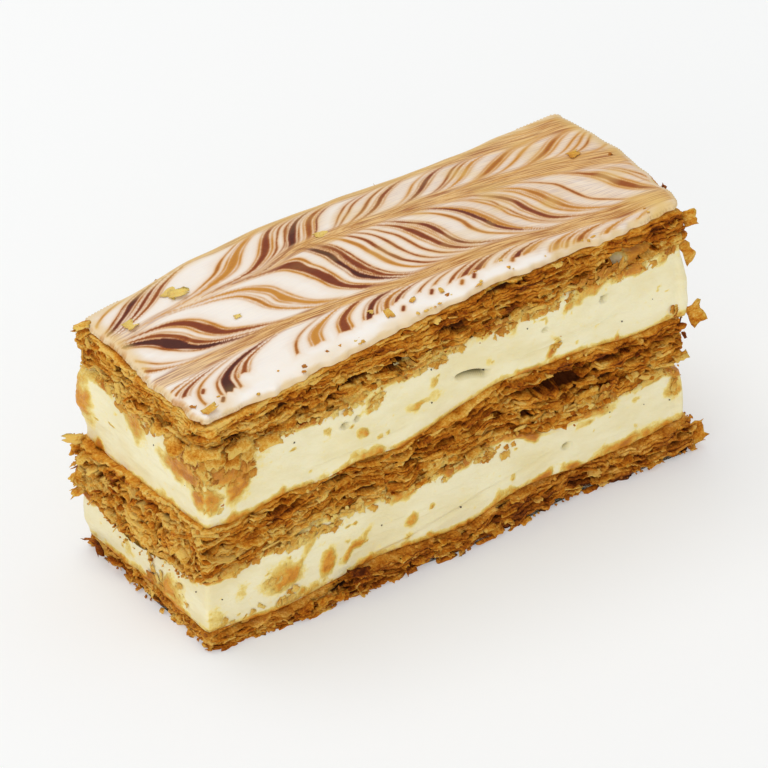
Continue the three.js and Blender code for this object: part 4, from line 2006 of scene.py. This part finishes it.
CLUSTERS = (
    *on_side(
        Cluster, Side.NEAR,
        (-50.5, 41, 7, 2.6, 46, 2.2, 0.45), (-48, 36.5, 4.5, 3, 18, 2, 0.5),
        (-52.5, 32.5, 3.5, 2.5, 12, 1.7, 0.3), (-38, 41.8, 7, 1, 20, 1.7, 0.3),
        (-22, 41.6, 8, 1.1, 22, 1.8, 0.3), (22, 46.2, 9, 1.1, 34, 2, 0.4), (36, 48.2, 5, 1, 18, 2, 0.4),
        (8, 45, 6, 0.8, 18, 1.8, 0.35), (-6, 43.6, 7, 0.8, 18, 1.8, 0.35),
        (51.5, 48.4, 2.5, 1.6, 9, 2, 0.45), (30, 20.6, 9, 1.6, 44, 2.4, 0.45),
        (-12, 18.4, 14, 1.2, 44, 1.9, 0.3), (-32, 16.4, 7, 1.2, 24, 1.9, 0.3),
        (-44, 17, 9, 1.8, 30, 2, 0.35), (-38, 9.6, 4, 2.6, 8, 1.6, 0.15), (-44, 4.4, 8, 1, 12, 1.4, 0.25),
    ),
    *on_side(
        Cluster, Side.LEFT,
        (-15, 40.2, 6.5, 2.8, 40, 2.1, 0.5), (-18.5, 35.5, 2.4, 3, 12, 1.8, 0.4),
        (3, 40.6, 7, 2, 26, 1.8, 0.35), (18.5, 37, 2.2, 5.5, 22, 1.8, 0.45),
        (-7, 6.4, 6.5, 2.2, 22, 1.8, 0.3),
    ),
    *on_side(
        Cluster, Side.NEAR,
        (54, 33.4, 1.4, 1.4, 7, 2.4, 0.45), (52.6, 15.8, 0.8, 2, 6, 2, 0.5),
        (44, 46.2, 4.5, 0.6, 16, 1.9, 0.3), (25, 37, 1.2, 1.8, 7, 1.8, 0.35),
        (10, 18, 6, 1, 18, 1.8, 0.3), (-16, 41, 1.6, 1.2, 8, 1.8, 0.35),
    ),
    *on_side(Cluster, Side.LEFT, (-2, 15.4, 12, 1.2, 26, 1.7, 0.35)),
)
LEAVES = each(
    LooseLeaf,
    ((-57.2, 20.4, 25.6), (-1, 0.5, -0.1), 4.6, 3.8, 0.05, (0.1, 0.2, 1)),
    ((-56.8, 18.5, 24.2), (-1, 0.3, -0.3), 3.8, 3, 0.3, (0.1, 0.1, 1)),
    ((-56.6, 15, 22.5), (-1, 0.2, -0.2), 3.6, 2.6, 0.15, (0, 0.2, 1)),
    ((-56.6, 20.6, 19), (-1, 0.3, -0.6), 3.2, 2.4, 0.35, (0.2, 0, 1)),
    ((-56.6, 20.8, 14.2), (-1, 0.4, -0.6), 3.4, 3, 0.2, (0.2, 0, 1)),
    ((-56.8, 8, 19), (-1, 0, -0.5), 3.8, 2.2, 0.25),
    ((-56.4, -2, 16), (-1, 0, -0.7), 4, 2.2, 0.2, (0.2, 0, 1)),
    ((-56.2, -14, 20), (-1, -0.4, -0.3), 5, 2.4, 0.15),
    ((-53, -22.4, 21), (-0.3, -1, -0.3), 6.5, 2.4, 0.15),
    ((-46, -22.6, 22.4), (0, -1, -0.3), 6, 2.2, 0.2), ((-50, -22.4, 18), (-0.1, -1, -0.4), 6, 2.2, 0.1),
    ((-54.5, -21.6, 45.6), (-0.6, -1, -0.4), 5.5, 2.6, 0.2),
    ((-48, -22.4, 44.8), (0, -1, -0.5), 6, 2.4, 0.2), ((-41, -22.6, 43.8), (0, -1, -0.6), 5, 2, 0.25),
    ((56.2, -20.4, 45.4), (1, -0.15, 0.1), 5.4, 2.4, 0.25, (0, -1, 0.1)),
    ((-52.8, -21.8, 43.6), (-0.3, -1, -0.9), 4.6, 3, 0.15, (-0.2, -0.8, 0.9)),
    ((-49.6, -22, 42.2), (0.1, -1, -1.4), 4.2, 3.2, 0.3, (0, -1.2, 0.9)),
    ((-45.6, -22, 42.6), (0.1, -1, -0.9), 4.4, 2.6, 0.1, (0, -0.8, 0.9)),
    ((-55.4, -17.5, 43.4), (-1, -0.2, -1), 4.8, 3, 0.2, (-0.9, -0.2, 0.9)),
    ((-55.6, -12, 43), (-1, 0, -1.4), 4.4, 2.8, 0.35, (-1.2, 0, 0.9)),
    ((-55.6, -6.5, 43.4), (-1, 0.1, -1), 4, 2.4, 0.15, (-0.9, 0, 0.9)),
    ((57, -20.8, 31.8), (1, -0.1, 0.2), 5, 3.6, 0.4, (0.1, -1, 0.2)),
    ((57.6, -14, 29), (1, -0.2, 0.2), 3.6, 2.2, 0.5, (0, -0.2, 1)),
    ((57.2, -20.6, 4.4), (1, -0.1, 0.2), 4.6, 3, 0.45, (0.1, -1, 0.2)),
    ((57.4, -20, 1.6), (1, -0.1, 0.1), 2.8, 3, 0.4),
    ((56.4, -20.2, 53.4), (1, -0.1, 0.3), 3.6, 2.6, 0.4, (0.1, -1, 0.3)),
    ((-54, 20.6, 51.6), (-1, 0.4, 0), 3.6, 3, 0.2, (0, 0.2, 1)),
    ((-54.6, 19.6, 50.4), (-1, 0.2, -0.3), 3.4, 2.6, 0.35, (0, 0.1, 1)),
)
DARK_LEAVES = each(
    LooseLeaf,
    ((-55.6, 17, 3.6), (-1, 0.1, 0.6), 7, 1.3, 0.8, (0.6, 0, 1)),
    ((-55.6, 10.6, 2.6), (-1, 0.1, 0.1), 4, 1.8, 0.6, (0.2, 0, 1)),
    ((-22, -22.6, 5.2), (0.2, -1, -0.6), 4.6, 2, 0.8, (0, -0.5, 1)),
)
TOP_BITS = each(
    LooseLeaf,
    ((-37.2, 16, 56.6), (0.9, 0.5, 0), 3, 3.8, 0), ((-37, 14.6, 56.4), (1, -0.4, 0), 2.6, 3.4, 0),
    ((-48.4, 12.9, 54.7), (1, 0.2, 0), 2.6, 2.8, 0.02), ((-5, 12.6, 57), (1, 0.1, 0), 2.6, 4, 0.05),
    ((48, 5.8, 58.6), (1, 0.4, 0), 1.8, 2.2, 0.5), ((-11.5, -13.5, 55.6), (1, 0.6, 0), 1.6, 2.2, 0.15),
    ((-9.5, -16.5, 55.3), (0.5, 1, 0), 1.8, 2.6, 0.3), ((-51.5, -18.6, 51.2), (1, 0.4, 0), 1.8, 2.8, 0.3),
    ((-53, -15.4, 51.5), (1, 0.6, 0), 1.2, 1.6, 0.6), ((-4, -16, 55.6), (1, 0.6, 0), 1, 1.4, 0.35),
    ((2, -17, 55.9), (0.6, 1, 0), 1, 1.6, 0.35), ((-32, 1.5, 56.2), (1, 0, 0), 1.1, 1.2, 0),
    ((53.8, 1.8, 58.3), (0.2, 1, 0), 1, 1.6, 0.9),
)


@dataclass
class Slice:
    """The whole slice, layer by layer from the board up.

    Attributes:
        bottom, middle, top: The sheets of pastry.
        lower_cream, upper_cream: The fillings.
        fondant: The fondant top.
        crumbs_per_sheet, crumbs_on_top: How many crumbs lie on each sheet's rim and on top.
        specks: How many specks of vanilla each filling shows.
        clusters: Bits of leaf stuck to the cut sides.
        leaves, dark_leaves: Larger leaves that stick out, golden and well baked.
        top_bits: Bits of leaf on the fondant.
    """

    MIDDLE_HEIGHT = 25.0

    bottom: PuffPastry = field(
        default_factory=lambda: PuffPastry(
            "pastry_bottom", WELL_BAKED, 100, 90, 300, leaf=0.84, flat_base=True, ragged=(0.0, 1.0),
            bake=Track((-57, 0.08), (-20, 0.20), (15, 0.18), (57, 0.02)),
            hollows=BOTTOM_HOLLOWS,
        )
    )
    middle: PuffPastry = field(
        default_factory=lambda: PuffPastry(
            "pastry_middle", GOLDEN, 200, 210, 580, leaf=0.94, shredded=1.0,
            hollows=MIDDLE_HOLLOWS,
        )
    )
    top: PuffPastry = field(
        default_factory=lambda: PuffPastry(
            "pastry_top", GOLDEN, 300, 150, 420, leaf=0.84, ragged=(1.0, 0.4),
            hollows=TOP_HOLLOWS,
        )
    )
    lower_cream: CreamFilling = field(
        default_factory=lambda: CreamFilling(
            "cream_lower", 400,
            smears=LOWER_SMEARS,
            pits=((27.6, 12.7, 0.8), (-40.0, 7.6, 0.35)),
            ridges=((8.0, 10.6, 36.0, 0.16), (14.0, 12.0, 22.0, 0.12), (-12.0, 7.4, 12.0, 0.1)),
            bulges=((Side.LEFT, 19.0, 9.0, 9.0, 7.0, 1.2), (Side.RIGHT, -20.0, 13.0, 10.0, 9.0, 1.0)),
            pockets=((Side.RIGHT, 15.0, 17.0, 2.8), (Side.FAR, 52.0, 14.0, 2.0)),
        )
    )
    upper_cream: CreamFilling = field(
        default_factory=lambda: CreamFilling(
            "cream_upper", 500,
            smears=UPPER_SMEARS,
            pits=((-22.7, 38.0, 0.75), (-19.9, 38.6, 0.6), (36.6, 43.0, 0.7), (23.0, 41.3, 0.5)),
            ridges=((-20.0, 32.0, 26.0, 0.05), (28.0, 38.0, 30.0, 0.03)),
            slits=((6.6, 38.5, 8.6),),
            bulges=((Side.LEFT, 19.5, 36.0, 8.0, 8.5, 1.6), (Side.RIGHT, -20.0, 37.0, 10.0, 13.0, 1.4)),
            pockets=((Side.NEAR, 43.6, 9.5, 4.6),),
            crowded=(0.65, 0.47),
            rows=54,
        )
    )
    fondant: FondantTop = field(default_factory=FondantTop)
    crumbs_per_sheet: int = 260
    crumbs_on_top: int = 34
    specks: tuple[int, int] = (16, 22)
    clusters: tuple[Cluster, ...] = CLUSTERS
    leaves: tuple[LooseLeaf, ...] = LEAVES
    dark_leaves: tuple[LooseLeaf, ...] = DARK_LEAVES
    top_bits: tuple[LooseLeaf, ...] = TOP_BITS

    def build(self) -> None:
        """Build every layer, then what lies loose on them."""
        for layer in (*self.pastries, *self.creams, self.fondant):
            layer.build()
        self._loose_flakes()
        self._shards()
        self._stuck_bits()
        self._loose_crumbs()
        self._vanilla()

    @property
    def pastries(self) -> tuple[PuffPastry, ...]:
        """The sheets of puff pastry from the board up."""
        return self.bottom, self.middle, self.top

    @property
    def creams(self) -> tuple[CreamFilling, ...]:
        """The fillings from the board up."""
        return self.lower_cream, self.upper_cream

    def _loose_flakes(self) -> None:
        """Add torn flakes to the cut sides of the sheets."""
        golden = Flakes("golden_flakes", GOLDEN)
        baked = Flakes("dark_flakes", WELL_BAKED)
        self._place_leaves(golden, self.leaves, 11)
        self._place_leaves(baked, self.dark_leaves, 12)
        for layer in self.pastries:
            rng = np.random.default_rng(layer.seed + 7)
            place, out, level, _ = layer.rim_places(rng, layer.flakes)
            count = len(place)
            length = rng.uniform(0.9, 3.4, count) * rng.uniform(0.6, 1.2, count)
            width = rng.uniform(0.6, 1.7, count)
            lean = rng.normal(0.12, 0.3, count)[:, None] + 0.5 * (0.5 - level[:, None])
            reach = out * np.cos(lean) - UP * np.sin(lean)
            lay = UP + 0.25 * rng.normal(size=reach.shape)
            tone = np.clip(rng.normal(0.36, 0.18, count), 0.05, 0.9)
            target = baked if layer.flat_base else golden
            target.scatter(rng, place, reach, lay, length, width, tone)
        golden.build()
        baked.build()

    def _shards(self) -> None:
        """Cover the cut sides with torn shards that lie against them or hang from them."""
        shards = Flakes("leaf_shards", GOLDEN, across=6, deep=4)
        for layer in self.pastries:
            rng = np.random.default_rng(layer.seed + 17)
            place, out, level, column = layer.rim_places(rng, layer.shards)
            ends = smoothstep(0.5, 0.9, np.abs(out[:, 0]))
            strata = smoothstep(0.35, 0.65, level) * smoothstep(-30.0, 10.0, place[:, 0]) * (1.0 - ends)
            kept = rng.uniform(size=len(place)) > 0.6 * strata + 0.2 * ends
            drawn = (place, out, level, column, ends)
            place, out, level, column, ends = (values[kept] for values in drawn)
            count = len(place)
            soaked = smoothstep(0.5, 0.25, level) * (not layer.flat_base)
            hang = rng.uniform(35.0, 95.0, count)
            hang = hang - np.maximum(ends, soaked) * rng.uniform(0.0, 75.0, count)
            hang = np.radians(hang)[:, None]
            reach = out * np.sin(hang) - UP * np.cos(hang)
            lay = out * np.cos(hang) + UP * np.sin(hang)
            lay = lay + (0.12 + 0.38 * ends[:, None]) * rng.normal(size=lay.shape)
            length = rng.uniform(1.4, 6.4, count) * rng.uniform(0.6, 1.0, count) * (1.0 - 0.5 * ends)
            width = rng.uniform(0.6, 1.9, count) * rng.uniform(0.7, 1.0, count)
            held = rng.uniform(-0.4, 0.2, count)
            patch = noise(layer.seed + 91, place[:, 0] / 6.0, place[:, 1] / 6.0, place[:, 2] / 4.0)
            tone = 0.40 + 0.42 * patch + 0.10 * rng.normal(size=count) - 0.10 * soaked
            tone = tone + layer.bake(place[:, 0]) + layer.upper_bake(place[:, 2], column)
            tone = tone - 0.08 * (out[:, 0] < -0.7)
            drawn = (place + out * held[:, None], reach, lay, length, width, np.clip(tone, 0.02, 0.95))
            for share, yaw in ((ends > 0.5, 1.4), (ends <= 0.5, 0.3)):
                shards.scatter(rng, *(values[share] for values in drawn), 0.9, yaw)
        shards.build()

    @staticmethod
    def _place_leaves(flakes: Flakes, leaves: Sequence[LooseLeaf], seed: int) -> None:
        """Add single leaves to a set of flakes."""
        values = {
            item.name: np.array([getattr(leaf, item.name) for leaf in leaves], dtype=float)
            for item in dataclass_fields(LooseLeaf)
        }
        flakes.scatter(np.random.default_rng(seed), curl=1.4, **values)

    def _stuck_bits(self) -> None:
        """Add the bits of leaf that stick to the cream and the ones that lie on the fondant."""
        bits = Flakes("stuck_bits", AMBER)
        lower, upper = (LayerShape(filling.node).ring(0.5, 0.8) for filling in self.creams)
        for number, cluster in enumerate(self.clusters):
            rng = np.random.default_rng(950 + number)
            ring = upper if cluster.height > self.MIDDLE_HEIGHT else lower
            choice = np.flatnonzero(ring.faces(cluster.side) > 0.5)
            along = cluster.side.along(ring.x, ring.y)[choice]
            order = np.argsort(along)
            count = cluster.count
            wanted = cluster.along + cluster.half_along * rng.uniform(-1, 1, count)
            nearest = np.searchsorted(along[order], np.clip(wanted, along.min(), along.max()))
            column = choice[order][np.minimum(nearest, len(choice) - 1)]
            z = cluster.height + cluster.half_up * rng.normal(0.0, 0.55, count)
            out = ring.outward(column)
            place = ring.at(column, z) + out * rng.uniform(0.0, 0.2, (count, 1))
            turn = rng.normal(0.0, 0.8, (count, 1))
            reach = np.cross(UP, out) * np.sin(turn) - UP * np.cos(turn)
            lay = out + 0.16 * rng.normal(size=out.shape)
            length = cluster.size * rng.uniform(0.6, 1.5, count)
            width = cluster.size * rng.uniform(0.4, 1.0, count)
            tone = np.clip(rng.normal(cluster.tone, 0.2, count), 0.0, 1.0)
            bits.scatter(rng, place, reach, lay, length, width, tone, curl=0.45)
        self._place_leaves(bits, self._resting(self.top_bits), 13)
        bits.build()

    def _resting(self, leaves: Sequence[LooseLeaf]) -> list[LooseLeaf]:
        """Lower bits of leaf on to the fondant."""
        shape = LayerShape(self.fondant.node)
        places = [np.array(leaf.place[:2]) for leaf in leaves]
        tops = [float(shape.top(*place)) + 0.16 for place in places]
        return [replace(leaf, place=(*place, z)) for leaf, place, z in zip(leaves, places, tops)]

    def _loose_crumbs(self) -> None:
        """Scatter small crumbs along the edges of the sheets."""
        crumbs = Crumbs("pastry_crumbs", AMBER.make(), "puff_pastry", 930)
        for layer in self.pastries:
            rng = np.random.default_rng(layer.seed + 8)
            count = self.crumbs_per_sheet
            column = rng.integers(0, len(layer.ring.x), count)
            at_top = rng.uniform(size=count) < (0.0 if layer is self.top else 0.5)
            edge = np.where(at_top, layer.high[column], layer.low[column])
            z = np.maximum(edge + rng.normal(0.0, 0.45, count), 0.4)
            out = rng.normal(0.0, 0.15, (count, 1))
            size = rng.uniform(0.3, 0.9, (count, 1)) * rng.uniform(0.5, 1.2, (count, 3))
            place = layer.ring.at(column, z) + out * layer.ring.outward(column)
            tone = rng.normal(0.75 if layer.flat_base else 0.4, 0.2, count)
            crumbs.scatter(place, size, np.clip(tone, 0.0, 1.0))
        rng = np.random.default_rng(935)
        count = self.crumbs_on_top
        shape = LayerShape(self.fondant.node)
        x = rng.uniform(-50.0, 50.0, count)
        near = np.array([shape.edge(Side.NEAR, place) for place in x])
        y = near + 0.9 + 5.5 * rng.uniform(size=count) ** 2
        size = rng.uniform(0.5, 1.2, (count, 1))
        size = size * rng.uniform([0.6, 0.5, 0.2], [1.3, 1.0, 0.4], (count, 3))
        place = np.stack([x, y, shape.top(x, y) - 0.02], axis=1)
        crumbs.scatter(place, size, np.clip(rng.normal(0.35, 0.25, count), 0.0, 1.0))
        crumbs.build()

    def _vanilla(self) -> None:
        """Dot ground vanilla over the cream's cut sides."""
        specks = Crumbs("vanilla_specks", SpeckFinish().make(), "pastry_cream", 940)
        for filling, count in zip(self.creams, self.specks):
            shape = LayerShape(filling.node)
            ring = shape.ring(1.0, filling.corner)
            rng = np.random.default_rng(filling.seed + 9)
            column = rng.integers(0, len(ring.x), count)
            place = ring.x[column], ring.y[column]
            low, high = shape.bottom(*place), shape.top(*place)
            z = low + (high - low) * rng.uniform(0.15, 0.85, count)
            size = rng.uniform(0.22, 0.5, (count, 1)) * rng.uniform(0.7, 1.2, (count, 3))
            specks.scatter(ring.at(column, z), size, np.zeros(count))
        specks.build()


# ---- board, light and camera


@dataclass(frozen=True)
class Studio:
    """A plain pale board under soft light, and the camera.

    Attributes:
        turn: How far the camera stands round from the near side, in degrees.
        lift: How far above the horizon it looks from, in degrees.
        roll: How far it is tipped, in degrees.
        distance: How far off it stands, in millimetres.
        slide: How far it is moved right and up, in millimetres.
        lens: Focal length, for a sensor 36 mm wide.
        aim: The point that it looks at, in millimetres.
    """

    turn: float = -33.3
    lift: float = 34.7
    roll: float = -1.57
    distance: float = 2281.5
    slide: tuple[float, float] = (-0.295, 0.295)
    lens: float = 562.5
    aim: tuple[float, float, float] = (0.0, 0.0, 26.5)

    BOARD_REACH = 3000.0

    def board(self) -> None:
        """Lay the board that the slice stands on."""
        corners = self.BOARD_REACH * np.array([(-1, -1, 0), (1, -1, 0), (1, 1, 0), (-1, 1, 0)])
        floor = make_piece("board", corners, [(0, 1, 2, 3)], FloorFinish().make(), False)

    def light(self) -> None:
        """Set an even bright surround and one broad lamp above."""
        world = bpy.data.worlds.new("surround")
        world.use_nodes = True
        backdrop = world.node_tree.nodes["Background"]
        backdrop.inputs["Color"].default_value = (1.0, 1.0, 1.0, 1.0)
        backdrop.inputs["Strength"].default_value = 0.72
        bpy.context.scene.world = world
        self._lamp("broad_lamp", (-0.20, 0.45, 1.20), 0.9, 4.6)
        self._lamp("fill_lamp", (-1.10, -0.95, 0.42), 1.2, 5.0)

    @staticmethod
    def _lamp(name: str, place: Sequence[float], size: float, power: float) -> None:
        """Hang a round lamp that points at the slice.

        Args:
            name: Name of the lamp.
            place: Where it hangs, in metres.
            size: Its width in metres.
            power: Its power in watts.
        """
        lamp = bpy.data.lights.new(name, "AREA")
        lamp.shape = "DISK"
        lamp.size = size
        lamp.energy = power
        holder = bpy.data.objects.new(name, lamp)
        holder.location = place
        holder.rotation_euler = (-Vector(place)).to_track_quat("-Z", "Y").to_euler()
        bpy.context.scene.collection.objects.link(holder)

    def camera(self) -> None:
        """Set up the camera."""
        turn, lift, roll = (math.radians(angle) for angle in (self.turn, self.lift, self.roll))
        back = Vector((math.sin(turn) * math.cos(lift), -math.cos(turn) * math.cos(lift), math.sin(lift)))
        right = Vector((0, 0, 1)).cross(back).normalized()
        up = back.cross(right)
        rolled_right = math.cos(roll) * right + math.sin(roll) * up
        rolled_up = math.cos(roll) * up - math.sin(roll) * right
        place = Vector(self.aim) + back * self.distance
        place += rolled_right * self.slide[0] + rolled_up * self.slide[1]
        data = bpy.data.cameras.new("camera")
        data.lens = self.lens
        data.sensor_width = 36.0
        data.clip_end = 20.0
        camera = bpy.data.objects.new("camera", data)
        axes = Matrix((rolled_right, rolled_up, back)).transposed().to_4x4()
        camera.matrix_world = Matrix.Translation(place * MM) @ axes
        bpy.context.scene.collection.objects.link(camera)
        bpy.context.scene.camera = camera

    def build(self) -> None:
        """Set up board, light and camera."""
        self.camera()
        self.board()
        self.light()
        bpy.context.scene.view_settings.view_transform = "Standard"


def main() -> None:
    """Build the slice and its surroundings."""
    logging.basicConfig(level=logging.INFO, format="%(message)s")
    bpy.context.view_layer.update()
    Studio().build()
    Slice().build()


if __name__ == "__main__":
    main()
